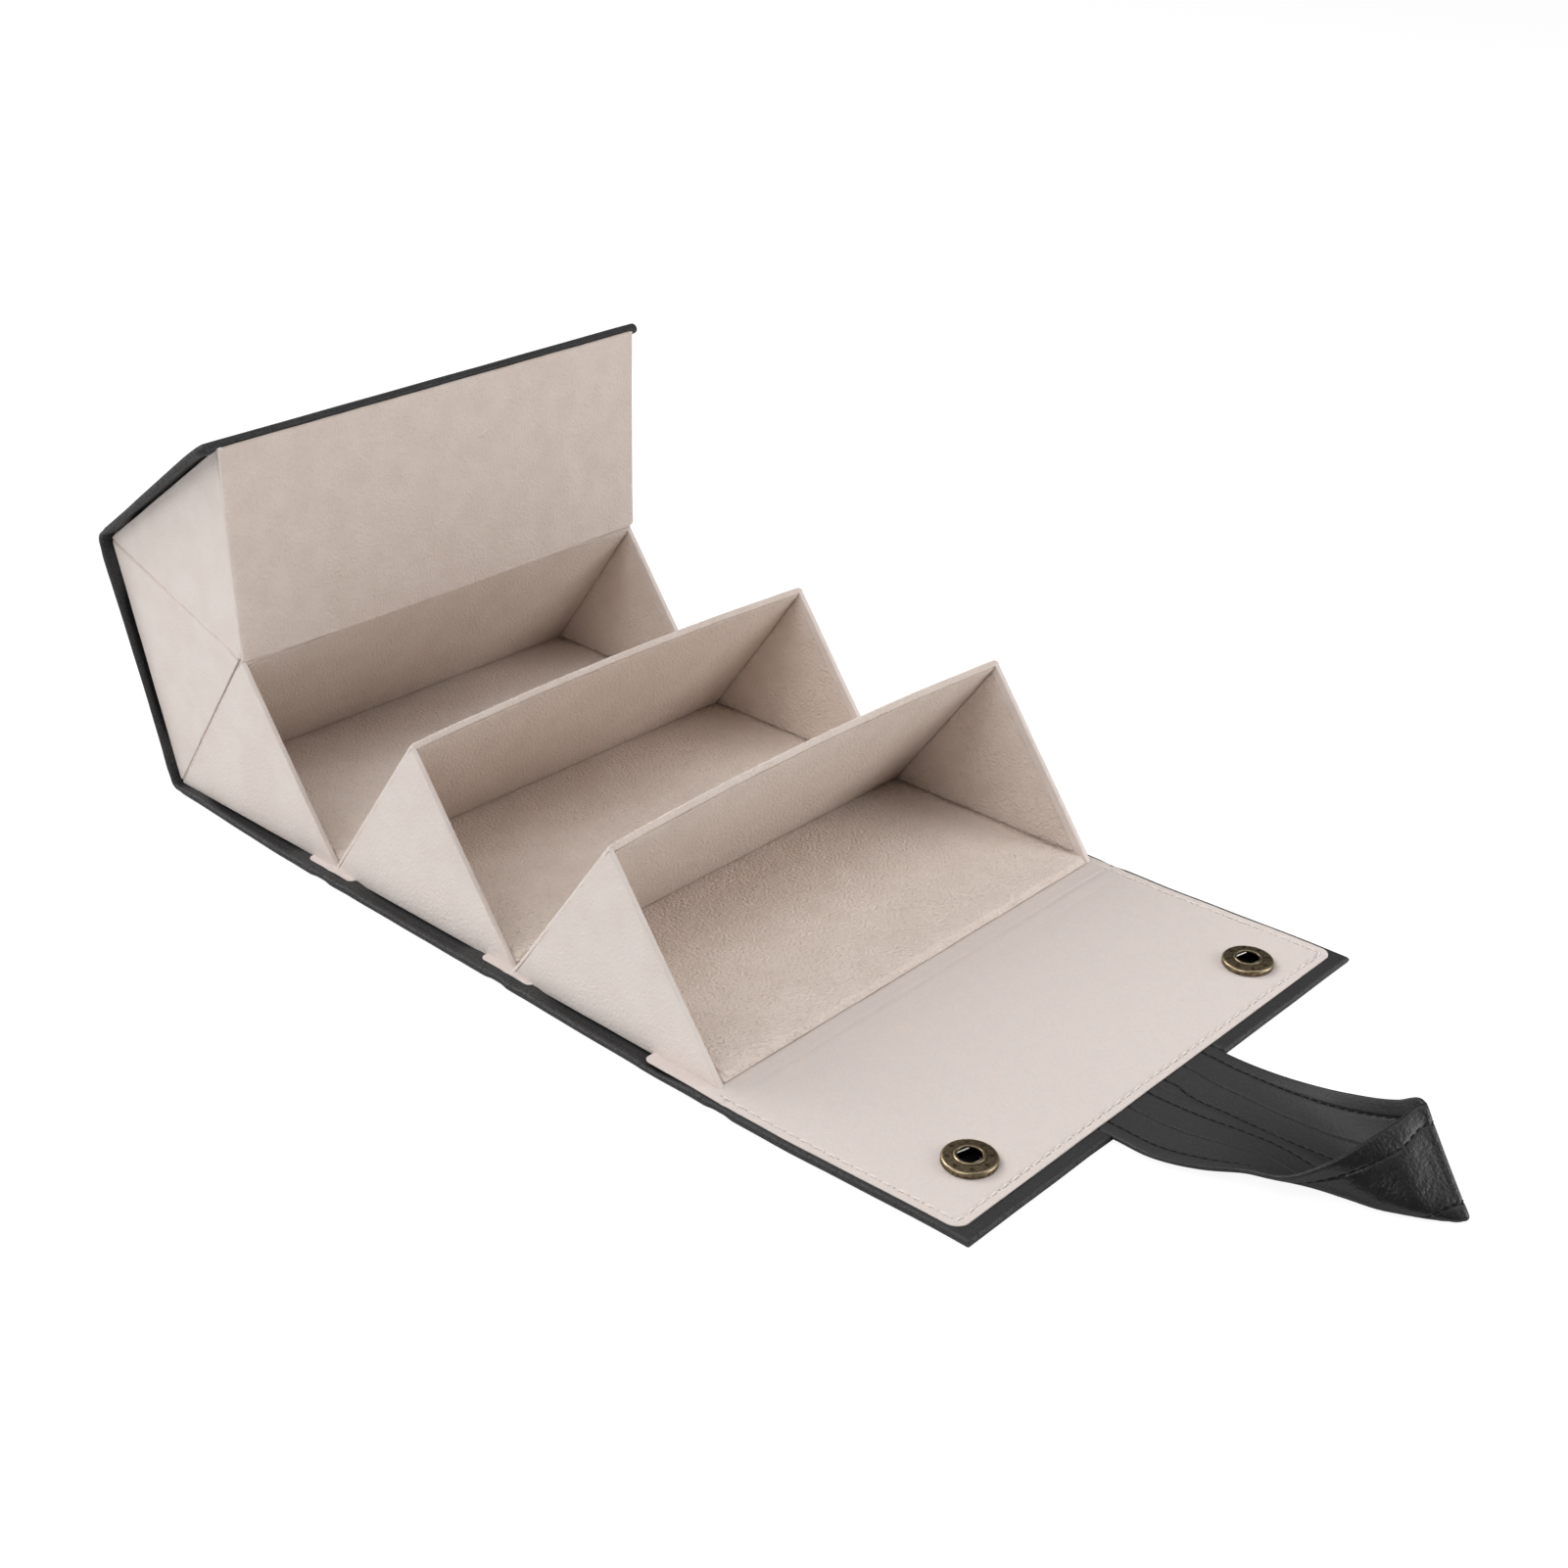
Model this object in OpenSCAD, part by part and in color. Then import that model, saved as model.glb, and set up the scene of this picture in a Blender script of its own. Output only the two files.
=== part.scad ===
// Roll-up storage box for sunglasses: five triangular trays on one folding leather cover, with a
// closing flap, two ring snaps and a carry strap. It stands half open: trays 1, 2 and 3 and the
// flap lie flat, and trays 4 and 5 are rolled up over tray 3.
// Millimetres. The origin is the middle of the underside of tray 3, +X runs along the row of trays
// towards the flap, +Y along the trays and +Z up.

/* [Trays] */
// Length of a tray over its end walls
tray_l = 168; // [150:1:190]
// Width of a tray's base, from corner to corner
tray_w = 82.5; // [76:0.5:92]
// Thickness of the wrapped boards of a tray
wall_t = 1.8; // [1.4:0.1:2.2]
// Space between the corners of two trays at a crease
corner_gap = 1; // [0.8:0.1:1.4]

/* [Linings] */
// Thickness of the lining sheets and hinge strips
lining_t = 0.4; // [0.3:0.05:0.5]
// Bare rim that the inner lining leaves round the open edges of a tray
liner_margin = 3.5; // [2.5:0.5:5]
// Width of a hinge strip on each side of its crease
strip_half_w = 11; // [9:0.5:13]
// How far the linings reach past the ends of the trays
strip_reach = 4.2; // [3:0.2:5]
// Radius at the outer corners of a hinge strip
strip_corner_r = 2; // [1:0.5:3]
// How far the lining of the flap runs in under tray 1
flap_lining_lap = 28; // [20:1:36]

/* [Cover] */
// Thickness of the wrapped cover under the trays
cover_t = 2.6; // [2.5:0.1:3.2]
// How far the cover stands out past the ends of the trays
cover_margin = 6; // [5.5:0.5:8]
// Thickness of the leather over and under the board
skin_t = 0.8; // [0.7:0.05:0.9]
// Bare leather between a crease and the greyboard
board_to_crease = 5; // [4.5:0.5:7]
// Bare leather between the ends of the cover and the greyboard
board_to_end = 2; // [1.5:0.5:3]
// Running clearance round the knuckle of each crease
crease_clear = 0.3; // [0.3:0.05:0.5]

/* [Flap] */
// Thickness of the flap with its lining
flap_t = 2; // [1.9:0.1:2.2]
// Thickness of the leather over and under the flap's board
flap_skin_t = 0.4; // [0.3:0.05:0.5]
// Leather left bare in front of the flap's lining
flap_front_margin = 3; // [2:0.5:5]
// Radius at the front corners of the flap's lining
flap_lining_r = 4; // [2:0.5:6]
// How far the closed flap passes the next crease
flap_overhang = 0.4; // [0:0.1:2]

/* [Snaps] */
// Diameter of the socket and of the cap
snap_d = 15; // [12:0.5:16]
// Height of the socket over the lining
socket_h = 2.4; // [2.4:0.1:3]
// Diameter of the hole in the socket
socket_bore_d = 6.5; // [6.3:0.1:7]
// Thickness of the stud's flange
stud_flange_t = 0.6; // [0.5:0.05:0.8]
// Diameter of the stud's flange
stud_d = 12; // [10:0.5:13]
// Diameter of the stud's knob
stud_knob_d = 5.6; // [5.2:0.1:5.8]
// Diameter of the stud's neck
stud_neck_d = 3.8; // [3.6:0.1:4]
// Free space between the closed stud and socket
snap_gap = 0.2; // [0.15:0.05:0.4]
// Wire thickness of the springs in the socket
spring_wire_d = 0.6; // [0.5:0.05:0.7]
// Distance of the snaps from the front edge of the flap
snap_from_edge = 20; // [16:1:26]
// Distance of the snaps from the ends of the trays
snap_from_end = 18.8; // [12:0.2:30]
// Diameter of the shank that rivets the cap to the socket
shank_d = 4.4; // [3.6:0.1:4.6]
// Diameter of the post that rivets the stud to the cover
post_d = 2.2; // [1.8:0.1:2.4]
// Diameter of the post's head
post_head_d = 10; // [8:0.5:12]

/* [Strap] */
// Width of the strap
strap_w = 26; // [22:1:30]
// Thickness of the strap
strap_t = 1.2; // [1:0.05:1.3]
// Length of the looped strap past the edge of the flap
strap_l = 82; // [60:1:100]
// Height of the strap's upper edge at its fold
strap_rise = 18; // [12:1:24]
// Shift of the strap from the middle of the flap
strap_shift = -4; // [-15:1:15]
// Length of the strap's ends that are sewn into the flap
strap_tail_l = 9; // [6:0.5:12]
// Space between the two sewn ends of the strap
strap_ends_gap = 0.6; // [0.4:0.1:2]

/* [Hidden] */
tray_count = 5;
fold = 360 / tray_count;
base_angle = 90 - fold / 2;
pitch = tray_w + corner_gap;
tray_h = tray_w / 2 * tan(base_angle);
half_l = tray_l / 2;
cover_half_l = half_l + cover_margin;
lining_half_l = half_l + strip_reach;
// Clearance of a piece that is let into another
fit = 0.05;
// Waste length that carries a cut out past a face
past = 1;
round_fn = 96;

// The flap's crease stands off the last corner by what the closed flap needs to pass over the
// thickness of the cover and the height of the closed snaps.
snap_stack = socket_h + snap_gap + stud_flange_t;
flap_offset = (cover_t + snap_stack) / sin(fold);
flap_x = 2.5 * pitch + flap_offset;
flap_edge_x = flap_x + pitch + flap_overhang - flap_offset * cos(fold);
flap_under = cover_t - flap_t;
lining_z = cover_t - lining_t;
snap_x = flap_edge_x - snap_from_edge;
snap_y = half_l - snap_from_end;
// Place of the studs along the cover of tray 5, from its free corner
stud_from_corner = flap_offset * cos(fold) + snap_x - flap_x;
knuckle_r = cover_t + crease_clear;
// The free edge of the cover at tray 5 is rounded about this place, to clear the cover of tray 1
nose_from_corner = knuckle_r / sin(fold);
// Depth of the post's head in the cover, and length of the clinched shanks
post_head_t = 0.5;
clinch_t = 0.5;
spring_z = socket_h - 0.75;
spring_at = stud_neck_d / 2 + spring_wire_d / 2 + 0.3;

beige = [0.86, 0.82, 0.79];
shaded_beige = [0.76, 0.71, 0.67];
leather = [0.2, 0.2, 0.21];
greyboard = [0.62, 0.6, 0.57];
brass = [0.52, 0.45, 0.31];
steel = [0.75, 0.74, 0.7];

TRAYS = [1, 2, 3, 4, 5];
CREASES = [1, 2, 3, 4];
PER_TRAY = ["cover_panel", "cover_board", "hinge_strip", "tray_base", "back_wall",
            "near_end_wall", "far_end_wall", "tray_liner"];

// Corners of a tray's triangle, moved in by a from the one side and by b from the other
function at_back(a, b) = [a / tan(base_angle) + b / sin(base_angle) - tray_w / 2, a];
function at_front(a, b) = [tray_w / 2 - a / tan(base_angle) - b / sin(base_angle), a];
function at_top(a, b) =
    [(a - b) / (2 * sin(base_angle)), tray_h - (a + b) / (2 * cos(base_angle))];

// Creases that bound the cover of tray n, from the middle of the tray, and where its cover begins
function left_crease(n) = -pitch / 2;
function right_crease(n) = pitch / 2 + (n == 1 ? flap_offset : 0);
function cover_start(n) = left_crease(n) + (n == 5 ? nose_from_corner : 0);

// Turns what lies in the row up about the crease at x
module rolled(x) {
    translate([x, 0, cover_t]) rotate([0, fold, 0]) translate([-x, 0, -cover_t]) children();
}

// Puts what is drawn round the middle of a tray at tray n
module at_tray(n) {
    if (n <= 3) translate([(3 - n) * pitch, 0, 0]) children();
    if (n == 4) rolled(-pitch / 2) translate([-pitch, 0, 0]) children();
    if (n == 5) rolled(-pitch / 2) rolled(-1.5 * pitch) translate([-2 * pitch, 0, 0]) children();
}

// Carries an outline in X and Z along Y, from y0 to y1
module along_y(y0, y1) {
    translate([0, y1, 0]) rotate([90, 0, 0]) linear_extrude(y1 - y0) children();
}

// Round bar along Y at the place of a crease
module crease_bar(x, r, half_length) {
    along_y_centre(x, cover_t, r, half_length);
}
module along_y_centre(x, z, r, half_length) {
    translate([x, 0, z]) rotate([90, 0, 0])
        cylinder(r = r, h = 2 * half_length, center = true, $fn = round_fn);
}

// Plate from x0 to x1 with round long edges, as leather turned over a board has
module wrapped_plate(x0, x1, z0, z1) {
    r = (z1 - z0) / 2;
    translate([x0, 0, z0 + r]) {
        translate([0, r - cover_half_l, -r]) cube([x1 - x0, 2 * (cover_half_l - r), 2 * r]);
        for (s = [-1, 1])
            translate([0, s * (cover_half_l - r), 0]) rotate([0, 90, 0])
                cylinder(r = r, h = x1 - x0, $fn = round_fn);
    }
}

// Board from x0 to x1 and z0 to z1, grown by g, as a solid or as the space that holds it
module board_block(x0, x1, z0, z1, g) {
    y = cover_half_l - board_to_end + g;
    translate([x0 - g, -y, z0 - g]) cube([x1 - x0 + 2 * g, 2 * y, z1 - z0 + 2 * g]);
}

// Outline from x0 to x1 with two corners of radius r, at the right, or at the left if mirrored
module lining_outline(x0, x1, half_y, r, round_left) {
    inner_x0 = round_left ? x0 + r : x0;
    inner_x1 = round_left ? x1 : x1 - r;
    round_x = round_left ? x0 + r : x1 - r;
    translate([inner_x0, -half_y]) square([inner_x1 - inner_x0, 2 * half_y]);
    translate([x0, r - half_y]) square([x1 - x0, 2 * (half_y - r)]);
    for (s = [-1, 1]) translate([round_x, s * (half_y - r)]) circle(r, $fn = 48);
}

// Hinge strips of tray n as outlines, grown by g
module strip_outlines(n, g) {
    lap = n == 1 ? flap_lining_lap : strip_half_w;
    if (n != 5)
        lining_outline(left_crease(n) + knuckle_r - g, left_crease(n) + strip_half_w + g,
                       lining_half_l + g, strip_corner_r, false);
    lining_outline(pitch / 2 - lap - g, right_crease(n) - knuckle_r + g,
                   lining_half_l + g, strip_corner_r, true);
}

module flap_lining_shape(g) {
    lining_outline(flap_x + knuckle_r - g, flap_edge_x - flap_front_margin + g,
                   lining_half_l + g, flap_lining_r, false);
}

// Places of the snaps on the flap, and of the studs on the cover of tray 5
module at_snaps() {
    for (s = [-1, 1]) translate([snap_x, s * snap_y, 0]) children();
}
module at_studs() {
    for (s = [-1, 1]) translate([stud_from_corner - pitch / 2, s * snap_y, 0]) children();
}

module round_hole(d) {
    translate([0, 0, -past]) cylinder(d = d, h = cover_t + 2 * past, $fn = 48);
}

// Leather cover under tray n, hollow where the board lies
module cover_panel(n) {
    color(leather) at_tray(n) difference() {
        union() {
            wrapped_plate(cover_start(n), right_crease(n), 0, cover_t);
            if (n == 5) intersection() {
                crease_bar(cover_start(n), cover_t, cover_half_l - cover_t / 2);
                translate([cover_start(n) - cover_t, -cover_half_l, 0])
                    cube([cover_t, 2 * cover_half_l, cover_t]);
            }
        }
        crease_bar(right_crease(n), knuckle_r, cover_half_l + past);
        if (n != 5) crease_bar(left_crease(n), knuckle_r, cover_half_l + past);
        board_shape(n, fit);
        translate([0, 0, lining_z]) linear_extrude(lining_t + past) strip_outlines(n, fit);
        if (n == 5) at_studs() {
            round_hole(post_d + 2 * fit);
            translate([0, 0, cover_t - post_head_t])
                cylinder(d = post_head_d + 2 * fit, h = post_head_t + past, $fn = 64);
        }
    }
}

module board_shape(n, g) {
    left = n == 5 ? cover_start(n) : left_crease(n) + board_to_crease;
    board_block(left, right_crease(n) - board_to_crease, skin_t, cover_t - skin_t, g);
}

// Greyboard sealed inside the cover
module cover_board(n) {
    color(greyboard) at_tray(n) difference() {
        board_shape(n, 0);
        if (n == 5) at_studs() round_hole(post_d + 2 * fit);
    }
}

// Lining strips that run along the creases on both sides of tray n
module hinge_strip(n) {
    color(beige) at_tray(n) translate([0, 0, lining_z])
        linear_extrude(lining_t) strip_outlines(n, 0);
}

module tray_base(n) {
    color(beige) at_tray(n) translate([0, 0, cover_t]) along_y(wall_t - half_l, half_l - wall_t)
        polygon([at_back(0, 0), at_front(0, 0), at_front(wall_t, 0), at_back(wall_t, wall_t)]);
}

module back_wall(n) {
    color(beige) at_tray(n) translate([0, 0, cover_t]) along_y(wall_t - half_l, half_l - wall_t)
        polygon([at_back(0, 0), at_back(wall_t, wall_t), at_top(wall_t, 0), at_top(0, 0)]);
}

module end_wall(n, y0) {
    color(beige) at_tray(n) translate([0, 0, cover_t]) along_y(y0, y0 + wall_t)
        polygon([at_back(0, 0), at_front(0, 0), at_top(0, 0)]);
}
module near_end_wall(n) { end_wall(n, -half_l); }
module far_end_wall(n) { end_wall(n, half_l - wall_t); }

// Lining sheets on the base, the back wall and both end walls, mitred where they meet
module tray_liner(n) {
    inner = wall_t + lining_t;
    inner_half_l = half_l - wall_t;
    color(shaded_beige) at_tray(n) translate([0, 0, cover_t]) {
        along_y(-inner_half_l, inner_half_l)
            polygon([at_back(wall_t, wall_t), at_front(wall_t, liner_margin),
                     at_front(inner, liner_margin), at_back(inner, inner)]);
        along_y(-inner_half_l, inner_half_l)
            polygon([at_back(wall_t, wall_t), at_back(inner, inner),
                     at_top(inner, liner_margin), at_top(wall_t, liner_margin)]);
        for (y0 = [-inner_half_l, inner_half_l - lining_t])
            along_y(y0, y0 + lining_t)
                polygon([at_back(inner, inner), at_front(inner, liner_margin),
                         at_top(inner, liner_margin)]);
    }
}

// Bare crease: a half-round knuckle of leather about the hinge line, so that it stays flush with
// both covers at every angle
module knuckle(x) {
    color(leather) intersection() {
        crease_bar(x, cover_t, cover_half_l - cover_t / 2);
        translate([x - cover_t, -cover_half_l, 0])
            cube([2 * cover_t, 2 * cover_half_l, cover_t - crease_clear]);
    }
}
// Crease between tray n and tray n + 1, carried by the one that stands nearer to tray 3
module crease(n) {
    carrier = n < 3 ? n + 1 : n;
    at_tray(carrier) knuckle(n < 3 ? pitch / 2 : -pitch / 2);
}
module flap_crease() { knuckle(flap_x); }

module flap_board_shape(g) {
    board_block(flap_x + board_to_crease, flap_edge_x - strap_tail_l - board_to_end,
                flap_under + flap_skin_t, lining_z - flap_skin_t, g);
}

module flap_cover() {
    color(leather) difference() {
        wrapped_plate(flap_x, flap_edge_x, flap_under, cover_t);
        crease_bar(flap_x, knuckle_r, cover_half_l + past);
        flap_board_shape(fit);
        translate([0, 0, lining_z]) linear_extrude(lining_t + past) flap_lining_shape(fit);
        strap_pocket();
        at_snaps() round_hole(shank_d + 2 * fit);
    }
}

module flap_board() {
    color(greyboard) difference() {
        flap_board_shape(0);
        at_snaps() round_hole(shank_d + 2 * fit);
    }
}

module flap_lining() {
    color(beige) difference() {
        translate([0, 0, lining_z]) linear_extrude(lining_t) flap_lining_shape(0);
        at_snaps() round_hole(shank_d + 2 * fit);
    }
}

// Domed cap under the flap, with the shank that is clinched in the socket
module snap_caps() {
    r = snap_d / 2;
    shank_r = shank_d / 2;
    flare_r = socket_bore_d / 2 - fit - 0.2;
    color(brass) at_snaps() rotate_extrude($fn = round_fn)
        polygon([[0, 0], [0.8 * r, 0], [r, 0.6 * flap_under], [r, flap_under],
                 [shank_r, flap_under], [shank_r, cover_t], [flare_r, cover_t],
                 [flare_r, cover_t + 0.7 * clinch_t], [0.85 * flare_r, cover_t + clinch_t],
                 [0, cover_t + clinch_t]]);
}

// Ring socket with a raised lip round its hole and a groove for the springs
module snap_sockets() {
    r = snap_d / 2;
    bore = socket_bore_d / 2;
    groove = bore + 0.8;
    half_wire = spring_wire_d / 2 + fit;
    color(brass) at_snaps() translate([0, 0, cover_t]) rotate_extrude($fn = round_fn)
        polygon([[bore, 0], [r - 0.3, 0], [r, 0.35], [r, socket_h - 0.95],
                 [r - 0.75, socket_h - 0.35], [bore + 1.3, socket_h - 0.3],
                 [bore + 0.9, socket_h - 0.05], [bore + 0.6, socket_h], [bore + 0.3, socket_h],
                 [bore, socket_h - 0.25], [bore, spring_z + half_wire],
                 [groove, spring_z + half_wire], [groove, spring_z - half_wire],
                 [bore, spring_z - half_wire]]);
}

// Two spring wires across the hole of each socket, which hold the stud by its neck
module snap_springs() {
    groove = socket_bore_d / 2 + 0.7;
    reach = sqrt(groove * groove - pow(spring_at + spring_wire_d / 2, 2));
    color(steel) at_snaps() for (s = [-1, 1])
        translate([-reach, s * spring_at, cover_t + spring_z]) rotate([0, 90, 0])
            cylinder(d = spring_wire_d, h = 2 * reach, $fn = 24);
}

// Studs on the outer face of the cover at tray 5
module snap_studs() {
    neck_end = snap_stack - spring_z + spring_wire_d / 2 - 0.05;
    knob_r = stud_knob_d / 2;
    hole_r = post_d / 2 + fit;
    tip = snap_stack - clinch_t - 0.1;
    color(brass) at_tray(5) at_studs() rotate([180, 0, 0]) rotate_extrude($fn = round_fn)
        polygon([[hole_r, 0], [stud_d / 2, 0], [stud_d / 2, 0.6 * stud_flange_t],
                 [stud_d / 2 - 0.4, stud_flange_t], [stud_neck_d / 2, stud_flange_t],
                 [stud_neck_d / 2, neck_end - 0.15], [knob_r, neck_end + 0.2],
                 [knob_r, neck_end + 0.35], [0.8 * knob_r, tip], [0, tip], [0, tip - 0.4],
                 [hole_r, tip - 0.4]]);
}

// Posts that come through the cover from under tray 5 and hold the studs
module stud_posts() {
    reach = snap_stack - clinch_t - 1;
    color(steel) at_tray(5) at_studs() {
        translate([0, 0, cover_t - post_head_t]) cylinder(d = post_head_d, h = post_head_t, $fn = 64);
        translate([0, 0, -reach]) cylinder(d = post_d, h = reach + cover_t - post_head_t, $fn = 48);
    }
}

// The two ends of the strap lie between the flap's leather and its lining. They end in a round
// nose about the line on which the strap bends.
strap_z = lining_z - strap_t / 2;
strap_x = flap_edge_x + strap_t / 2;
module at_strap_ends() {
    for (s = [-1, 1])
        translate([0, strap_shift + s * (strap_w + strap_ends_gap) / 2, 0]) children();
}
module strap_pocket() {
    at_strap_ends() translate([flap_edge_x - strap_tail_l - fit, -strap_w / 2 - fit,
                               lining_z - strap_t - fit])
        cube([strap_tail_l + past, strap_w + 2 * fit, cover_t]);
}
module strap_tails() {
    color(leather) at_strap_ends() {
        translate([flap_edge_x - strap_tail_l, -strap_w / 2, lining_z - strap_t])
            cube([strap_x - flap_edge_x + strap_tail_l, strap_w, strap_t]);
        along_y_centre(strap_x, strap_z, strap_t / 2, strap_w / 2);
    }
}

// Rows of the looped strap, from its near end to its fold and back to its far end. Each row runs
// over the strap from its middle edge to its outer edge, as [along, across, up] from the edge of
// the flap, for a strap 82 long, 26 wide and 18 high at its fold.
STRAP_MODEL = [82, 26, 18];
NEAR_ROWS = [
    [[0, -0.3, 0], [0, -13.3, 0], [0, -26.3, 0]],
    [[10, -0.4, -0.5], [10.2, -13.6, 0.2], [10.4, -27, 0.6]],
    [[24, -0.2, -0.9], [24, -11.6, 1.5], [24, -22.7, 1.4]],
    [[33, 0.4, -1], [33, -9.4, 1.2], [32.5, -18.5, 2.8]],
    [[45, 1.4, -1], [44.8, -9.2, 0.2], [44.1, -15.9, 5.6]],
    [[56, 2.6, -1], [55, -6.8, 0.2], [51.5, -9, 10.6]],
    [[67, 4, -1], [64.5, -3.8, 2.4], [56, 3.6, 14.6]],
    [[74.5, 4.9, -1], [69, 1.6, 4.4], [57.8, 11.8, 16]]];
FOLD_ROWS = [
    [[81, 6, -1], [70.5, 11.6, 7.2], [59, 18.6, 16.8]],
    [[82, 7.2, -1], [71.6, 13.2, 7.3], [59.8, 20.4, 16.9]],
    [[80.6, 8.2, -1], [70.2, 14.6, 7.2], [58.4, 21.6, 16.8]]];
FAR_ROWS = [
    [[73, 7.2, -1], [63, 14.6, 5.2], [52.5, 21.6, 13.6]],
    [[53.3, 4.6, -1], [46, 13.6, 1.4], [38.4, 22.6, 8.2]],
    [[32.8, 2.4, -1], [28.2, 12.9, 0.1], [23.6, 24.2, 3.8]],
    [[16.4, 0.9, -0.9], [14.1, 13.1, -0.5], [11.8, 25.4, 1.2]],
    [[0, 0.3, 0], [0, 13.3, 0], [0, 26.3, 0]]];
STRAP_ROWS = concat(NEAR_ROWS, FOLD_ROWS, FAR_ROWS);
strap_start = strap_t + crease_clear;

function unit(v) = v / norm(v);
// A row's point in place
function strap_point(p) = [
    flap_edge_x + strap_start + p[0] * (strap_l - strap_start) / STRAP_MODEL[0],
    strap_shift + sign(p[1]) * strap_ends_gap / 2 + (p[1] - sign(p[1]) * 0.3) * strap_w / STRAP_MODEL[1],
    strap_z + (p[2] < 0 ? p[2] * (strap_z - strap_t / 2) : p[2] * strap_rise / STRAP_MODEL[2])];
ROWS = [for (row = STRAP_ROWS) [for (p = row) strap_point(p)]];
last = len(ROWS) - 1;
// Direction square to the strap at point j of row i
function strap_normal(i, j) =
    let (along = ROWS[min(i + 1, last)][j] - ROWS[max(i - 1, 0)][j],
         over = ROWS[i][min(j + 1, 2)] - ROWS[i][max(j - 1, 0)])
    unit(cross(over, along));
// Six points of row i: its inner face and then its outer face
function strap_ring(i) = concat(
    [for (j = [0:2]) ROWS[i][j] + strap_normal(i, j) * strap_t / 2],
    [for (j = [2:-1:0]) ROWS[i][j] - strap_normal(i, j) * strap_t / 2]);

module carry_strap() {
    points = [for (i = [0:last]) each strap_ring(i)];
    walls = [for (i = [0:last - 1]) for (k = [0:5])
        let (a = 6 * i + k, b = 6 * i + (k + 1) % 6)
        each [[a, b + 6, b], [a, a + 6, b + 6]]];
    near_cap = [[0, 1, 2], [0, 2, 3], [0, 3, 5], [3, 4, 5]];
    far_cap = [for (face = near_cap) [for (k = [2:-1:0]) face[k] + 6 * last]];
    color(leather) polyhedron(points, concat(walls, near_cap, far_cap));
}

for (n = TRAYS) {
    cover_panel(n);
    cover_board(n);
    hinge_strip(n);
    tray_base(n);
    back_wall(n);
    near_end_wall(n);
    far_end_wall(n);
    tray_liner(n);
}
for (n = CREASES) crease(n);
flap_crease();
flap_cover();
flap_board();
flap_lining();
snap_caps();
snap_sockets();
snap_springs();
snap_studs();
stud_posts();
strap_tails();
carry_strap();
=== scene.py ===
"""Looks of a roll-up storage box for sunglasses: five beige trays on one charcoal leather cover, with a
stitched flap, two antique ring snaps and a folded carry strap.

Shapes are worked out in millimetres as numpy grids, laid out flat along the row of trays, and then
rolled up with their tray. A closed skin is a grid whose rows are loops, filled at both ends.
"""
import math

import bpy
import numpy as np
from mathutils import Matrix, Vector


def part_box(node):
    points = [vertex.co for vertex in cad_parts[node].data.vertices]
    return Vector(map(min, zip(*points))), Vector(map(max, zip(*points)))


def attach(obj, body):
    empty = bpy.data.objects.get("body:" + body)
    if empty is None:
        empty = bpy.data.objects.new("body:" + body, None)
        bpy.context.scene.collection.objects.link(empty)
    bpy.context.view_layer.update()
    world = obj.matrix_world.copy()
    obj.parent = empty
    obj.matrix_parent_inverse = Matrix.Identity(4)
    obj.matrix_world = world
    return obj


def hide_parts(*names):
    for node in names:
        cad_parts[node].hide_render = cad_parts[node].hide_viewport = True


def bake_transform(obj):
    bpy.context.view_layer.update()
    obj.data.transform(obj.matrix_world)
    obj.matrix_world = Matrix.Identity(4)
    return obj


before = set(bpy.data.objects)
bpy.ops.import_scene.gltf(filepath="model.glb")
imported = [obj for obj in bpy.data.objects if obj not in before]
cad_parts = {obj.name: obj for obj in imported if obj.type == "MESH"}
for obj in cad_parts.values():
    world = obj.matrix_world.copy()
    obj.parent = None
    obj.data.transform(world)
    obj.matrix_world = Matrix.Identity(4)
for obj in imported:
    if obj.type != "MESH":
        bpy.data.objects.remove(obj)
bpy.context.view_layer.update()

MM = 0.001


def span(node):
    """Lowest and highest corner of a CAD node, in millimetres."""
    low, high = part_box(node)
    return np.array(low) / MM, np.array(high) / MM


def middle_x(node):
    """Middle of a CAD node along the row."""
    low, high = span(node)
    return (low[0] + high[0]) / 2


# Trays, from the frame
tray_low, tray_high = span("near_end_wall_3")
TRAY_W = tray_high[0] - tray_low[0]
TRAY_H = tray_high[2] - tray_low[2]
HALF_L = -tray_low[1]
WALL_T = tray_high[1] - tray_low[1]
COVER_T = tray_low[2]
BASE_ANGLE = math.atan2(2 * TRAY_H, TRAY_W)
FOLD = math.pi - 2 * BASE_ANGLE
INNER_HALF = HALF_L - WALL_T
LINER_T = 0.4
LINER_MARGIN = 2.4
LINER_GAP = 0.2
COVERING = 0.2
TRAYS = (1, 2, 3, 4, 5)
TRAY_FLOOR = np.array([0, 0, COVER_T])
ALONG = INNER_HALF * np.sort(np.append(np.linspace(-1, 1, 60), [-0.9997, 0.9997]))

# How the photographed trays differ from straight ones: the bow of the back wall, how far its top is
# pushed out and down, how far the tray is moved ahead and aside at its near end, and how low the end
# walls reach
BOWED = {1: 2.5, 2: 2.2, 3: 2.0, 4: 2.0, 5: 1.6}
PUSHED = {4: (0.0, -0.25), 5: (1.5, 0.75)}
MOVED = {1: (1.0, -2.4), 2: (0.0, -0.6)}
FOOT = {(1, "near"): -1.1, (2, "near"): -1.1, (3, "near"): -0.7}
FOOT_ELSEWHERE = -0.2

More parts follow.
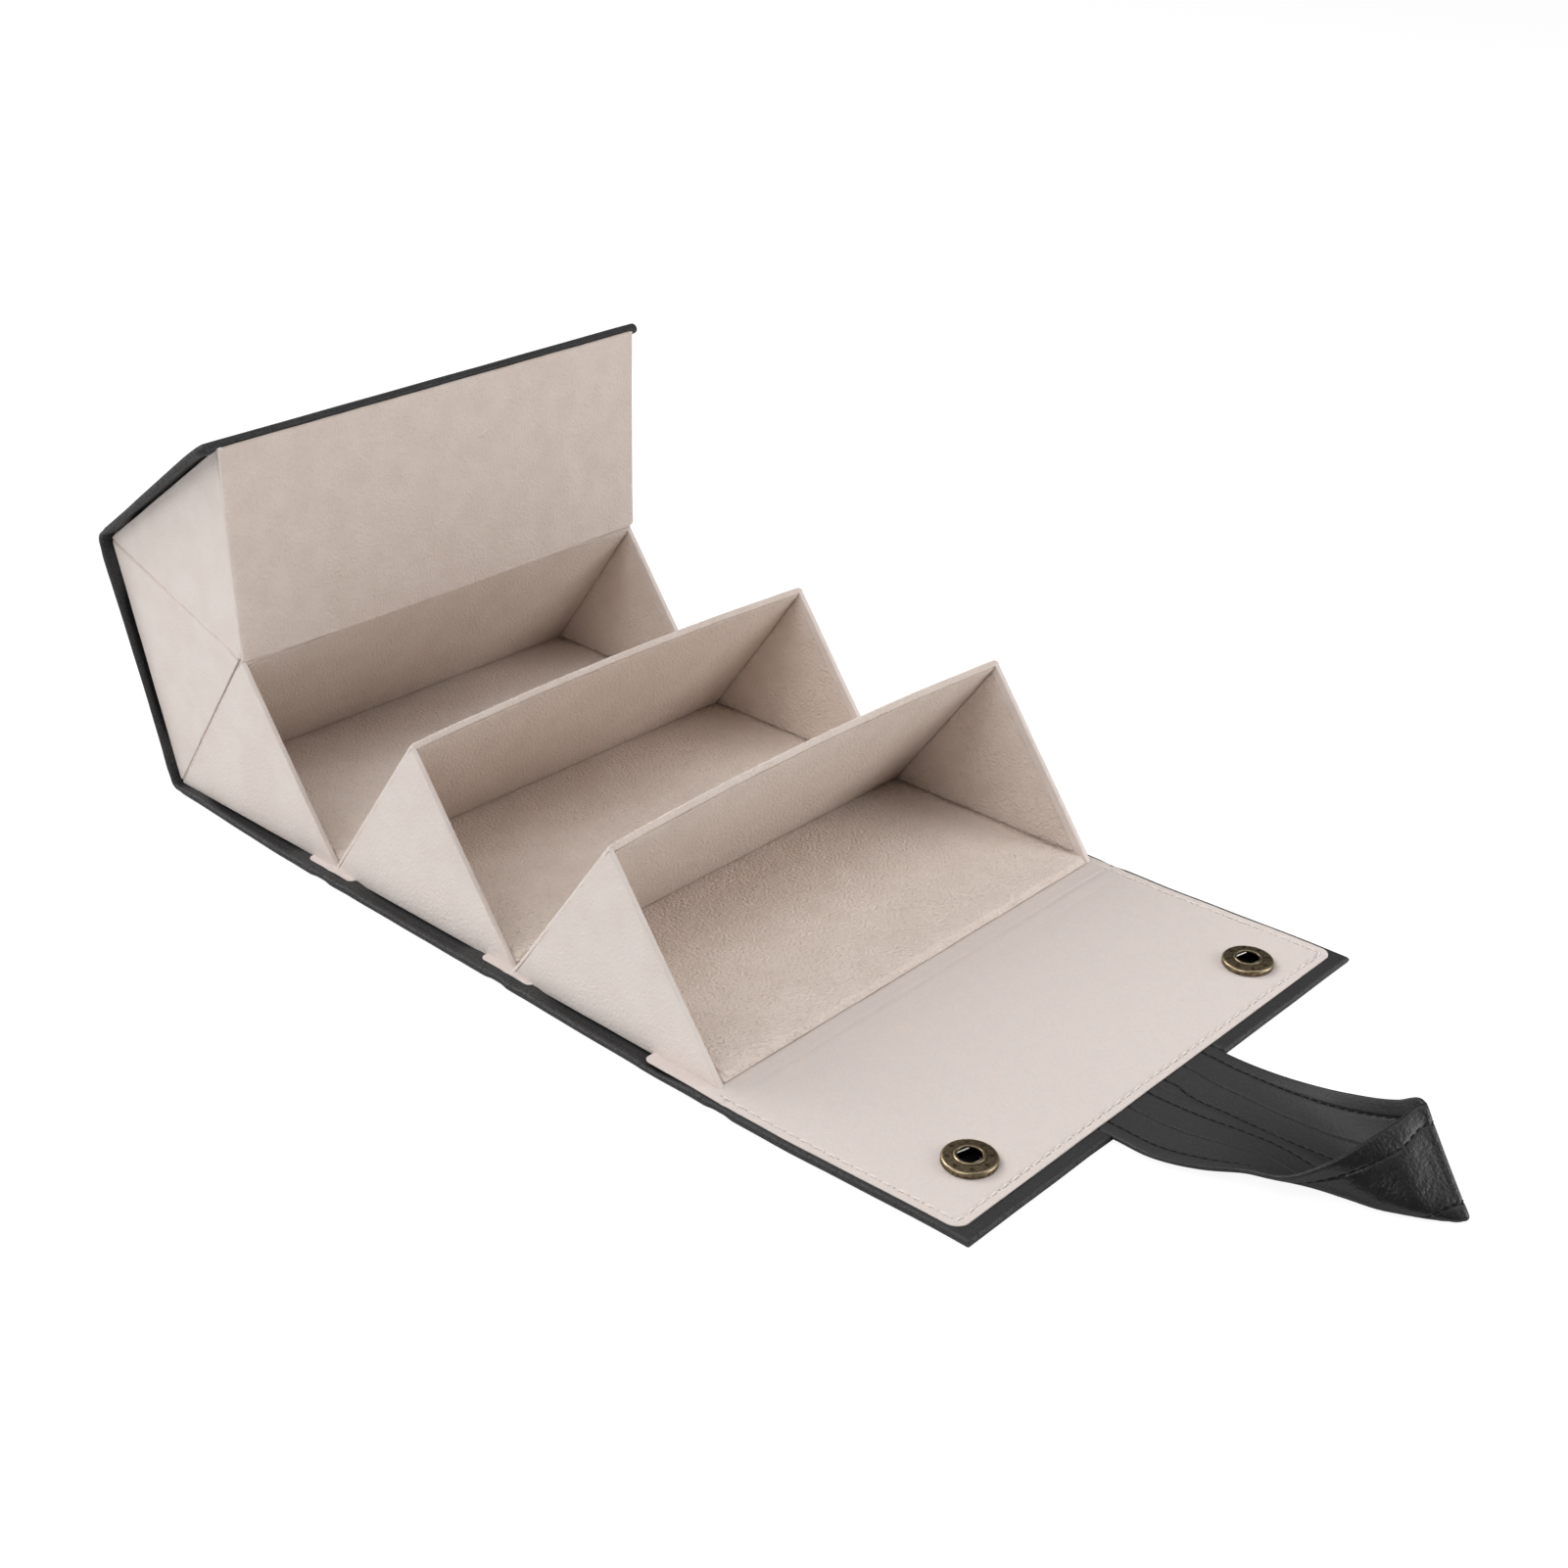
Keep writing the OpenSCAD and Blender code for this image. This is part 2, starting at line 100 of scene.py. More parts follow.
# Cover and creases, from the frame
PITCH = middle_x("crease_1_2") - middle_x("crease_2_3")
FLAP_X = middle_x("flap_crease")
COVER_HALF = span("cover_panel_3")[1][1]
FLAP_EDGE = span("flap_cover")[1][0] - 0.7
FLAP_UNDER = span("flap_cover")[0][2]
LINING_HALF = span("flap_lining")[1][1]
LINING_FRONT = span("flap_lining")[1][0] - 2.0
LINING_T = 0.4
ROW_END = 2.5 * PITCH
STRIP_HALF = 11.0
STRIP_CORNER = 2.0
FLAP_CORNER = 4.0
FLAP_LAP = 23.5
SAG = 1.9
BEND = 6.0
BOARD_HALF = 77.5
BOARD_TOP = 1.8
FREE_EDGE = 0.8 - ROW_END
LEATHER_TOP = COVER_T - 0.05
LINED_TOP = COVER_T - LINING_T
SEAM_INSET = 2.6
SEAM_START = ROW_END + 3.5

# Snaps and strap, from the frame
SNAP_X = middle_x("snap_caps")
SNAP_R = 7.5
SNAP_Y = span("snap_caps")[1][1] - SNAP_R
SPRING_LOW, SPRING_HIGH = (corner[2] for corner in span("snap_springs"))
SPRING_R = (SPRING_HIGH - SPRING_LOW) / 2
SPRING_Z = (SPRING_HIGH + SPRING_LOW) / 2
STRAP_SHIFT = -4.0
STRAP_T = 1.4
STRAP_W = 26.0


def smooth(t):
    """Smooth step from 0 to 1."""
    t = np.clip(t, 0, 1)
    return t * t * (3 - 2 * t)


def hump(distance, width, power=2):
    """Bell over a distance: 1 at 0, and falling as exp of minus a power of distance over width."""
    return np.exp(-(distance / width) ** power)


def full_turn(count):
    """Angles evenly round a circle."""
    return np.linspace(0, 2 * math.pi, count, endpoint=False)


def tray_x(tray):
    """Middle of a tray in the flat row."""
    return (3 - tray) * PITCH


def crease_x(tray):
    """Crease between a tray and the next one in the flat row."""
    return tray_x(tray) - PITCH / 2


def turned(points, x, angle):
    """Points turned about the line along Y at x on top of the cover, so that what lies to the left goes
    up."""
    dx, dz = points[..., 0] - x, points[..., 2] - COVER_T
    c, s = np.cos(angle), np.sin(angle)
    return np.stack([x + dx * c + dz * s, points[..., 1], COVER_T - dx * s + dz * c], axis=-1)


def rolled(points, tray):
    """Points of the flat row, rolled up with their tray: tray 5 about both creases, tray 4 about one.
    Tray 5 and its cover are twisted, the free edge a little further round at the near end."""
    if tray == 5:
        round_edge = np.clip(crease_x(4) - points[..., 0], 0, PITCH) / PITCH
        twist = round_edge * (0.5 - points[..., 1] / 180)
        points = turned(points + twist[..., None] * np.array([1.1, 0, 1.5]), crease_x(4), FOLD)
    if tray >= 4:
        points = turned(points, crease_x(3), FOLD)
    return points


def warped(points, tray):
    """Points of a tray as gluing and rolling up leave them. The back wall is bowed outwards, most in the
    middle of its top edge. The top of tray 5 is pushed out and down over the top of tray 3, and that of
    tray 4 drawn back, by the square of the height. Tray 5 also sits a little towards the far side, and
    trays 1 and 2 towards the near side, half as much at their far ends."""
    height = np.clip((points[..., 2] - COVER_T) / TRAY_H, 0, 1.1)
    along = points[..., 1] / HALF_L
    bow = BOWED[tray] * (1 - along ** 2) * height ** 1.5
    out, down = PUSHED.get(tray, (0.0, 0.0))
    out, down = bow + out * height ** 2, down * height ** 2
    aside = 0.8 + 0.3 * along + (1 - height) * (0.95 + 1.45 * along)
    ahead, beside = MOVED.get(tray, (0.0, 0.0))
    share = 0.75 - 0.25 * along
    ahead, beside = ahead * share, beside * share + aside * (tray == 5)
    c, s = math.cos(BASE_ANGLE), math.sin(BASE_ANGLE)
    return points + np.stack([ahead + down * c - out * s, beside, down * s + out * c], axis=-1)


def at_tray(points, tray):
    """Points drawn round the middle of a tray's underside, put at the tray in the row and rolled up."""
    return rolled(warped(points, tray) + np.array([tray_x(tray), 0, 0]), tray)


def wobbled(points, amount):
    """Points moved by a few slow waves, as hand-covered board is never quite straight."""
    x, y, z = points[..., 0], points[..., 1], points[..., 2]
    across = np.sin(0.21 * y + 0.13 * x) + 0.6 * np.sin(0.47 * y - 0.31 * z + 1.7)
    up = np.sin(0.17 * y - 0.23 * x + 0.6) + 0.6 * np.sin(0.39 * y + 0.29 * x + 2.9)
    along = np.sin(0.25 * x + 0.33 * z + 1.1)
    return points + amount * np.stack([across, along, up], axis=-1) / 1.6


# Meshes


def outward(points, quads, triangles):
    """The part with its faces turned so that its signed volume, the sum of its tetrahedra, is positive."""
    corners = np.concatenate([quads[:, [0, 1, 2]], quads[:, [0, 2, 3]], triangles])
    a, b, c = (points[corners[:, k]] for k in range(3))
    if np.einsum("ij,ij->", a, np.cross(b, c)) < 0:
        quads, triangles = quads[:, ::-1], triangles[:, ::-1]
    return points, quads, triangles


def loops(grid):
    """Closed skin over a grid whose rows are loops: quads between neighbouring rows, and both end rows
    filled with triangles from their middles."""
    rows, columns = grid.shape[:2]
    i = np.arange(rows - 1)[:, None] * columns
    j = np.arange(columns)[None, :]
    k = (j + 1) % columns
    quads = np.stack([i + j, i + k, i + columns + k, i + columns + j], axis=-1).reshape(-1, 4)
    points = np.concatenate([grid.reshape(-1, 3), grid[:1].mean(1), grid[-1:].mean(1)])
    count, end = rows * columns, (rows - 1) * columns
    first = np.stack([np.full(columns, count), k[0], j[0]], axis=1)
    last = np.stack([np.full(columns, count + 1), end + j[0], end + k[0]], axis=1)
    return outward(points, quads, np.concatenate([first, last]))


def ring(grid):
    """Closed skin over a grid that closes on itself both ways, as a ring does."""
    rows, columns = grid.shape[:2]
    i, j = np.meshgrid(np.arange(rows), np.arange(columns), indexing="ij")
    k, n = (j + 1) % columns, (i + 1) % rows
    quads = np.stack([i * columns + j, i * columns + k, n * columns + k, n * columns + j], axis=-1)
    return outward(grid.reshape(-1, 3), quads.reshape(-1, 4), np.zeros((0, 3), int))


def placed(name, data):
    """A new object in the scene."""
    made = bpy.data.objects.new(name, data)
    bpy.context.scene.collection.objects.link(made)
    return made


def piece(name, parts, finish, body=None, slot=None, replaces=(), **shades):
    """One object from closed parts in millimetres, with its material. Its place in its mesh, the argument
    slot, is not used.
    Each of shades is a number per vertex that the material reads under that name."""
    starts = np.cumsum([0] + [len(points) for points, _, _ in parts])
    points = np.concatenate([points for points, _, _ in parts]) * MM
    faces = []
    for start, (_, quads, triangles) in zip(starts, parts):
        faces += (quads + start).tolist() + (triangles + start).tolist()
    mesh = bpy.data.meshes.new(name)
    mesh.from_pydata(points.tolist(), [], faces)
    mesh.polygons.foreach_set("use_smooth", np.ones(len(faces), bool))
    for key, shade in shades.items():
        mesh.attributes.new(key, "FLOAT", "POINT").data.foreach_set("value", shade.astype(np.float32))
    mesh.materials.append(finish)
    made = placed(name, mesh)
    if body:
        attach(made, body)
    if replaces:
        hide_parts(*replaces)
    return made


def rounded(corners, radii, spacing=1e9, steps=6):
    """Closed outline round the corners, anticlockwise, and its outward normals. Each corner is an arc
    that touches both of its sides, and the sides are cut into steps no longer than the spacing."""
    corners = np.array(corners, float)
    sides = np.roll(corners, -1, axis=0) - corners
    angles = np.arctan2(sides[:, 1], sides[:, 0]) - math.pi / 2
    arcs, normals = [], []
    for k, radius in enumerate(radii):
        start = angles[k - 1]
        turn = (angles[k] - start) % (2 * math.pi)
        swing = start + np.linspace(0, turn, steps)
        unit = np.stack([np.cos(swing), np.sin(swing)], axis=1)
        bisector = np.array([math.cos(start + turn / 2), math.sin(start + turn / 2)])
        arcs.append(corners[k] - bisector * radius / math.cos(turn / 2) + radius * unit)
        normals.append(unit)
    path, facing = [], []
    for k, arc in enumerate(arcs):
        after = arcs[(k + 1) % len(arcs)][0]
        count = max(1, math.ceil(np.linalg.norm(after - arc[-1]) / spacing))
        share = np.arange(1, count)[:, None] / count
        path += [arc, arc[-1] + share * (after - arc[-1])]
        facing += [normals[k], np.repeat(normals[k][-1:], count - 1, axis=0)]
    return np.concatenate(path), np.concatenate(facing)


def board(outline, low, high, edge):
    """Plate over an outline, between two heights, as a grid of loops. The loops shrink towards the
    middle on both faces, and round the rim they follow a quarter circle of radius edge at each face. One
    more loop close inside it keeps the face flat up to there."""
    path, facing = outline
    inside = 0.2
    swing = np.linspace(0, math.pi / 2, 5)
    inset = np.concatenate([[edge + inside], edge * (1 - np.sin(swing))])
    height = np.concatenate([[0], edge * (1 - np.cos(swing))])
    inset = np.concatenate([inset, inset[::-1]])[:, None, None]
    height = np.concatenate([high - height, low + height[::-1]])
    rim = path[None] - inset * facing[None]
    centre = rim[0].mean(0)
    shares = np.array([0.35, 0.7])[:, None, None]
    inner = centre + shares * (rim[0] - centre)
    flat = np.concatenate([inner, rim, inner[::-1]])
    heights = np.concatenate([[high, high], height, [low, low]])
    heights = np.broadcast_to(heights[:, None, None], flat.shape[:2] + (1,))
    return np.concatenate([flat, heights], axis=-1)


def laid(grid, origin, first, second):
    """A grid drawn in a plane, put at an origin with its two directions in the tray's frame. Heights go
    along the plane's normal."""
    first, second = np.array(first, float), np.array(second, float)
    normal = np.cross(first, second)
    return np.array(origin) + grid[..., :1] * first + grid[..., 1:2] * second + grid[..., 2:] * normal


def bar(path, places):
    """An outline in X and Z carried along Y, as a grid of loops."""
    grid = np.zeros((len(places), len(path), 3))
    grid[..., 0], grid[..., 2] = path[:, 0], path[:, 1]
    grid[..., 1] = np.array(places)[:, None]
    return grid


def skew(x):
    """Sideways drift of the cover under the trays, as they are not glued on quite in line with it."""
    return (3.2 - 2.6 * smooth((-60 - x) / 130) - 3.6 * smooth((x + 62) / 110)
            - 2.2 * smooth((x - 45) / 180) + 2.6 * smooth((x - 222) / 75))


NEAR_RIM = np.array([0.25, 0.8, 1.6, 2.1, 2.6, 3.1, 3.8])


def band(x, thin, half_w, across, top, under):
    """Plate that lies across the row, as a grid of loops. Each loop is the section at one x: a half
    circle round each end, a top and an underside, whose points lie at fixed distances from the ends and
    at fixed places between them. top(x, y) and under(x, y) are the heights, and thin scales the
    thickness between them."""
    x, thin, half_w = (np.broadcast_to(v, np.shape(x)).astype(float)[:, None] for v in (x, thin, half_w))

    def levels(y):
        high, low = top(x, y), under(x, y)
        return (high + low) / 2, (high - low) / 2 * thin

    mid, radius = levels(half_w - 1)
    swing = np.linspace(-math.pi / 2, math.pi / 2, 9)[None]
    end_y, end_z = half_w - radius + radius * np.cos(swing), mid + radius * np.sin(swing)
    near_end = half_w - radius - NEAR_RIM[None]
    shrunk = np.minimum(1, (near_end[:, -1:] - 0.4) / np.max(np.abs(across)))
    between = np.sort(across)[None, ::-1] * shrunk
    over = np.concatenate([near_end, between, -near_end[:, ::-1]], axis=1)
    below = -over[:, ::3]
    mid, half_t = levels(over)
    mid_below, half_t_below = levels(below)
    y = np.concatenate([end_y, over, -end_y[:, ::-1], below], axis=1)
    z = np.concatenate([end_z, mid + half_t, end_z[:, ::-1], mid_below - half_t_below], axis=1)
    return np.stack([np.broadcast_to(x, y.shape), y + skew(x), z], axis=-1)


# Materials


class Wire:
    """A socket of a material's node tree. Arithmetic on it adds Math nodes."""

    def __init__(self, finish, socket):
        self.finish, self.socket = finish, socket

    def maths(self, operation, *others):
        values = dict(enumerate((self,) + others))
        return self.finish.node("ShaderNodeMath", {"operation": operation}, values)

    def __add__(self, other):
        return self.maths("ADD", other)

    __radd__ = __add__

    def __mul__(self, other):
        return self.maths("MULTIPLY", other)

    __rmul__ = __mul__

    def __sub__(self, other):
        return self.maths("SUBTRACT", other)

    def __rsub__(self, other):
        return self * -1 + other

    def between(self, low, high):
        """0 below low, 1 above high, and a smooth step between."""
        values = {"Value": self, "From Min": low, "From Max": high}
        return self.finish.node("ShaderNodeMapRange", {"interpolation_type": "SMOOTHSTEP"}, values)


class Finish:
    """A procedural material: a Principled shader and the nodes that feed it."""

    def __init__(self, name, **constants):
        self.material = bpy.data.materials.new(name)
        self.material.use_nodes = True
        self.tree = self.material.node_tree
        self.shader = self.tree.nodes["Principled BSDF"]
        for socket, value in constants.items():
            self.shader.inputs[socket.replace("_", " ")].default_value = value

    def node(self, kind, settings, inputs, output=0):
        """Adds a node, first its settings and then the values or links of its sockets."""
        made = self.tree.nodes.new(kind)
        for key, value in settings.items():
            setattr(made, key, value)
        for key, value in inputs.items():
            if isinstance(value, Wire):
                self.tree.links.new(value.socket, made.inputs[key])
            else:
                made.inputs[key].default_value = value
        return Wire(self, made.outputs[output])

    def place(self):
        """Place on the piece, in metres."""
        return self.node("ShaderNodeTexCoord", {}, {}, "Object")

    def noise(self, size, detail, rough=0.5, output=0):
        """Noise whose features are about size millimetres across."""
        values = {"Vector": self.place(), "Scale": 1 / (size * MM), "Detail": detail, "Roughness": rough}
        return self.node("ShaderNodeTexNoise", {}, values, output)

    def warped(self, size, amount):
        """Place, pushed about by noise: amount in millimetres."""
        push = self.noise(size, 2.0, output="Color")
        shift = self.node("ShaderNodeVectorMath", {"operation": "SUBTRACT"}, {0: push, 1: (0.5, 0.5, 0.5)})
        scale = (amount * MM,) * 3
        return self.node("ShaderNodeVectorMath", {"operation": "MULTIPLY_ADD"},
                         {0: shift, 1: scale, 2: self.place()})

    def domes(self, size, vector):
        """Domes about size millimetres across, 1 on their crowns and near 0 where they meet."""
        values = {"Vector": vector, "Scale": 1 / (size * MM)}
        reach = self.node("ShaderNodeTexVoronoi", {}, values, "Distance")
        return 1 - 1.9 * reach * reach

    def attribute(self, name):
        """Number that the piece carries at each vertex under this name, 0 where it carries none."""
        return self.node("ShaderNodeAttribute", {"attribute_name": name}, {}, "Fac")

    def mix(self, share, first, second):
        """Colour between two colours."""
        return self.node("ShaderNodeMix", {"data_type": "RGBA"}, {0: share, 6: first, 7: second}, 2)

    def set(self, socket, value):
        """Lets a wire drive a socket of the shader."""
        self.tree.links.new(value.socket, self.shader.inputs[socket])

    def bump(self, height, depth):
        """Relief from a height between 0 and 1, depth millimetres deep."""
        values = {"Strength": 1.0, "Distance": depth * MM, "Height": height}
        self.set("Normal", self.node("ShaderNodeBump", {}, values))


def paint(red, green, blue):
    """Linear colour from the 0 to 255 values of a screen colour."""
    linear = [(v / 255 / 12.92) if v < 10 else ((v / 255 + 0.055) / 1.055) ** 2.4 for v in (red, green, blue)]
    return (*linear, 1.0)


def leatherette(name, size, depth, dark, light):
    """Beige covering of the boards: fine grain of pebbles and short wrinkles, with faint cloudy tones.
    The attribute upright, 1 on the lining of the back wall and less on those of the end walls, makes them
    smoother and darker with painted shade, and low makes the feet of the end walls lighter with painted
    light."""
    finish = Finish(name, Specular_IOR_Level=0.35)
    cloud = finish.noise(10.0, 3.0)
    tone = finish.mix(cloud.between(0.3, 0.7), dark, light)
    upright = finish.attribute("upright")
    # Painted light: the feet of the end walls are mixed towards a lighter beige by the attribute low.
    tone = finish.mix(finish.attribute("low"), tone, paint(243, 232, 225))
    # Painted shade: the wall linings are mixed towards dark brown by the attribute upright.
    finish.set("Base Color", finish.mix(upright * 0.2, tone, (0.05, 0.03, 0.015, 1)))
    pebbles = finish.domes(size * 1.3, finish.warped(size * 1.5, size * 0.5))
    grain = finish.noise(size, 1.5)
    finish.bump((pebbles * 0.12 + grain * 0.88) * (1 - 0.4 * upright), depth)
    finish.set("Roughness", 0.67 - 0.1 * pebbles)
    return finish.material


def nubuck():
    """Lining of the flap and creases: nearly smooth, with a fine nap and warm and cool clouds."""
    finish = Finish("beige_nubuck", Roughness=0.8, Specular_IOR_Level=0.25, Sheen_Weight=0.08)
    warm = finish.noise(4.0, 4.0, 0.6).between(0.38, 0.62)
    speck = finish.noise(0.8, 2.0).between(0.3, 0.7)
    tone = finish.mix(warm, paint(217, 207, 202), paint(220, 209, 202))
    finish.set("Base Color", finish.mix(speck * 0.3, tone, paint(205, 193, 187)))
    finish.bump(finish.noise(0.5, 3.0, 0.6) * 0.7 + finish.noise(2.5, 2.0) * 0.3, 0.04)
    return finish.material


def charcoal_leather():
    """Leather of the cover: rounded pebbles parted by fine creases, a little lighter on their crowns."""
    finish = Finish("charcoal_cover_leather", Specular_IOR_Level=0.45)
    pebbles = finish.domes(0.8, finish.warped(1.04, 0.48))
    cloud = finish.noise(14.0, 3.0)
    dark, light = paint(38, 38, 39), paint(50, 50, 51)
    finish.set("Base Color", finish.mix(pebbles * 0.55 + cloud * 0.45, dark, light))
    finish.set("Roughness", 0.62 - 0.16 * pebbles + 0.06 * cloud)
    finish.bump(pebbles * 0.55 + finish.noise(0.4, 2.0) * 0.45, 0.1)
    return finish.material


def strap_leather():
    """Leather of the strap: smooth and matt inside, and outside coarser, glossier and with long creases.
    Inside, towards the fold, it is painted darker as painted shade. The attribute outer tells the faces
    apart, and seam is 1 in the grooves of the seams, where the leather is painted near black as painted
    shade."""
    finish = Finish("charcoal_strap_leather", Specular_IOR_Level=0.5)
    outer = finish.attribute("outer")
    fine = finish.domes(0.9, finish.warped(1.1, 0.5))
    coarse = finish.domes(0.9, finish.warped(1.2, 0.9))
    along = finish.node("ShaderNodeSeparateXYZ", {}, {"Vector": finish.place()}, "X")
    # Painted shade: the inside of the strap is darker from 305 to 350 mm along X, towards its fold.
    far = along.between(0.305, 0.35)
    inside = finish.mix(far, finish.mix(fine, paint(42, 42, 43), paint(47, 47, 48)), paint(28, 28, 29))
    outside = finish.mix(coarse, paint(14, 14, 15), paint(20, 20, 21))
    # Painted shade: where seam is 1, in the grooves of the stitch lines and of the middle slit, the leather
    # is painted near black.
    finish.set("Base Color", finish.mix(finish.attribute("seam"), finish.mix(outer, inside, outside),
                                        paint(9, 9, 9)))
    finish.set("Roughness", 0.58 - 0.26 * outer + 0.08 * finish.noise(6.0, 3.0))
    finish.bump(fine * (0.2 - 0.2 * outer) + (coarse * 0.17 + finish.noise(3.0, 4.0)) * outer, 0.2)
    return finish.material


def thread(name, colour, shade):
    """Sewing thread: a fine twist across its length."""
    finish = Finish(name, Roughness=0.7, Specular_IOR_Level=0.3)
    twist = finish.noise(0.35, 1.0)
    finish.set("Base Color", finish.mix(twist.between(0.35, 0.65), colour, shade))
    finish.bump(twist, 0.05)
    return finish.material


def antique_brass():
    """Aged brass: dark brown in the hollows, bare and bright on the worn places, and near black deep in the
    hole, as painted shade.
    """
    finish = Finish("antique_brass", Metallic=1.0)
    patch = finish.noise(1.1, 4.0, 0.6)
    shade = finish.attribute("rubbed")
    rubbed = (shade + (patch - 0.52) * 1.1).between(0.2, 1.0)
    tone = finish.mix(rubbed, (0.075, 0.055, 0.034, 1), (0.37, 0.3, 0.19, 1))
    # Painted shade: where the attribute is well below zero, deep in the hole, the brass is painted near
    # black.
    finish.set("Base Color", finish.mix(shade.between(-1.4, -0.6), (0.004, 0.004, 0.004, 1), tone))
    finish.set("Roughness", 0.56 - 0.24 * rubbed)
    finish.bump(finish.noise(0.25, 2.0), 0.012)
    return finish.material


def plain_brass():
    """Aged brass of the caps and studs, with dark patches, and painted near black in the bore as painted
    shade.
    """
    finish = Finish("aged_brass", Metallic=1.0)
    patch = finish.noise(1.6, 4.0, 0.6).between(0.35, 0.65)
    height = finish.node("ShaderNodeSeparateXYZ", {}, {"Vector": finish.place()}, "Z")
    # Painted shade: between 0.9 and 8 mm up, down in the hole of the socket, the caps are painted near black.
    bore = height.between(0.7 * MM, 0.9 * MM) - height.between(8 * MM, 9 * MM)
    tone = finish.mix(patch, (0.12, 0.086, 0.047, 1), (0.36, 0.285, 0.17, 1))
    finish.set("Base Color", finish.mix(bore, tone, (0.006, 0.006, 0.006, 1)))
    finish.set("Roughness", 0.5 - 0.14 * patch)
    finish.bump(finish.noise(0.3, 2.0), 0.012)
    return finish.material


def spring_steel():
    """Drawn steel wire with faint lines."""
    finish = Finish("spring_steel", Metallic=1.0)
    finish.set("Base Color", finish.mix(finish.noise(0.6, 2.0), (0.42, 0.4, 0.36, 1), (0.62, 0.6, 0.56, 1)))
    finish.set("Roughness", 0.25 + 0.15 * finish.noise(0.3, 2.0))
    return finish.material


def greyboard():
    """Pressed grey board with paper fibres."""
    finish = Finish("greyboard", Roughness=0.9)
    fibre = finish.noise(0.7, 4.0, 0.7)
    finish.set("Base Color", finish.mix(fibre, paint(140, 136, 128), paint(172, 168, 160)))
    finish.bump(fibre, 0.04)
    return finish.material


END_WALL = leatherette("beige_leatherette", 0.85, 0.22, paint(225, 213, 206), paint(229, 219, 213))
BACK_WALL = leatherette("grained_leatherette", 0.85, 0.6, paint(221, 206, 196), paint(226, 212, 203))
TRAY_LINING = leatherette("beige_tray_lining", 0.95, 1.05, paint(236, 221, 210), paint(241, 227, 217))
NUBUCK = nubuck()
COVER_LEATHER = charcoal_leather()
STRAP_LEATHER = strap_leather()
PALE_THREAD = thread("pale_thread", paint(243, 238, 233), paint(226, 219, 212))
# Painted shade: the needle holes are small darker beige bodies sunk into the lining, standing for the shade
# in the holes.
NEEDLE_HOLE_SHADE = thread("needle_hole_shade", paint(203, 191, 183), paint(191, 179, 170))
BLACK_THREAD = thread("black_thread", paint(14, 14, 14), paint(26, 26, 27))
BRASS = antique_brass()
CAP_BRASS = plain_brass()
STEEL = spring_steel()
GREYBOARD = greyboard()


# Trays


def at_back(a, b):
    """Corner of the triangle at the back, moved in by a from the base and by b from the back wall."""
    return np.array([a / math.tan(BASE_ANGLE) + b / math.sin(BASE_ANGLE) - TRAY_W / 2, a])


def at_front(a, b):
    """Corner at the front, moved in by a from the base and by b from the open side."""
    return at_back(a, b) * np.array([-1, 1])


def at_top(a, b):
    """Corner at the top, moved in by a from the back wall and by b from the open side."""
    return np.array([(a - b) / (2 * math.sin(BASE_ANGLE)), TRAY_H - (a + b) / (2 * math.cos(BASE_ANGLE))])


def base_lining(left, half):
    """Lining of a tray's base, which is wrapped round the front edge of the board: its outline in X and
    Z, a round bend between a level stretch and one down the slope, is carried along Y."""
    steps, sunk = 6, 0.05
    high, foot = WALL_T + LINER_T, 0.3
    path, _ = rounded([(left, WALL_T - sunk), at_front(foot, -COVERING), at_front(high, -COVERING),
                       (left, high)], [0.05, 0.12, 0.8, 0.18], 6, steps)
    inside = [at_front(WALL_T - sunk, COVERING - sunk), at_front(foot, COVERING - sunk)]
    return bar(np.insert(path, steps, inside, axis=0), np.linspace(-half, half, 60))


def back_wall(wide, deep):
    """Back wall of a tray, as a grid of loops along Y. Its section is a board between the end walls, and
    past them only the covering goes on over their edges. There its outer face drops along a quarter of
    an ellipse, by deep (1 - cos) over wide sin."""
    cover = deep + 0.1
    end = [(INNER_HALF, cover, -COVERING), (INNER_HALF + 0.02, cover, -COVERING)]
    for swing in np.linspace(0, math.pi / 2, 8):
        y = HALF_L + 0.01 - wide * (1 - math.sin(swing))
        end.append((y, cover, deep * (1 - math.cos(swing)) - COVERING))
    end.append((end[-1][0], cover - 0.03, end[-1][2] + 0.02))
    stations = [(-y, *rest) for y, *rest in end[::-1]] + [(y, WALL_T, -COVERING) for y in ALONG] + end
    rows = []
    for y, inside, outside in stations:
        share = min(1, (inside - outside) / 0.9)
        path, _ = rounded([at_back(0, outside), at_back(inside, inside), at_top(inside, -COVERING),
                           at_top(outside, -COVERING)], np.array([0.3, 0.2, 0.2, 0.5]) * share)
        rows.append(np.column_stack([path[:, 0], np.full(len(path), y), path[:, 1]]))
    return np.array(rows)


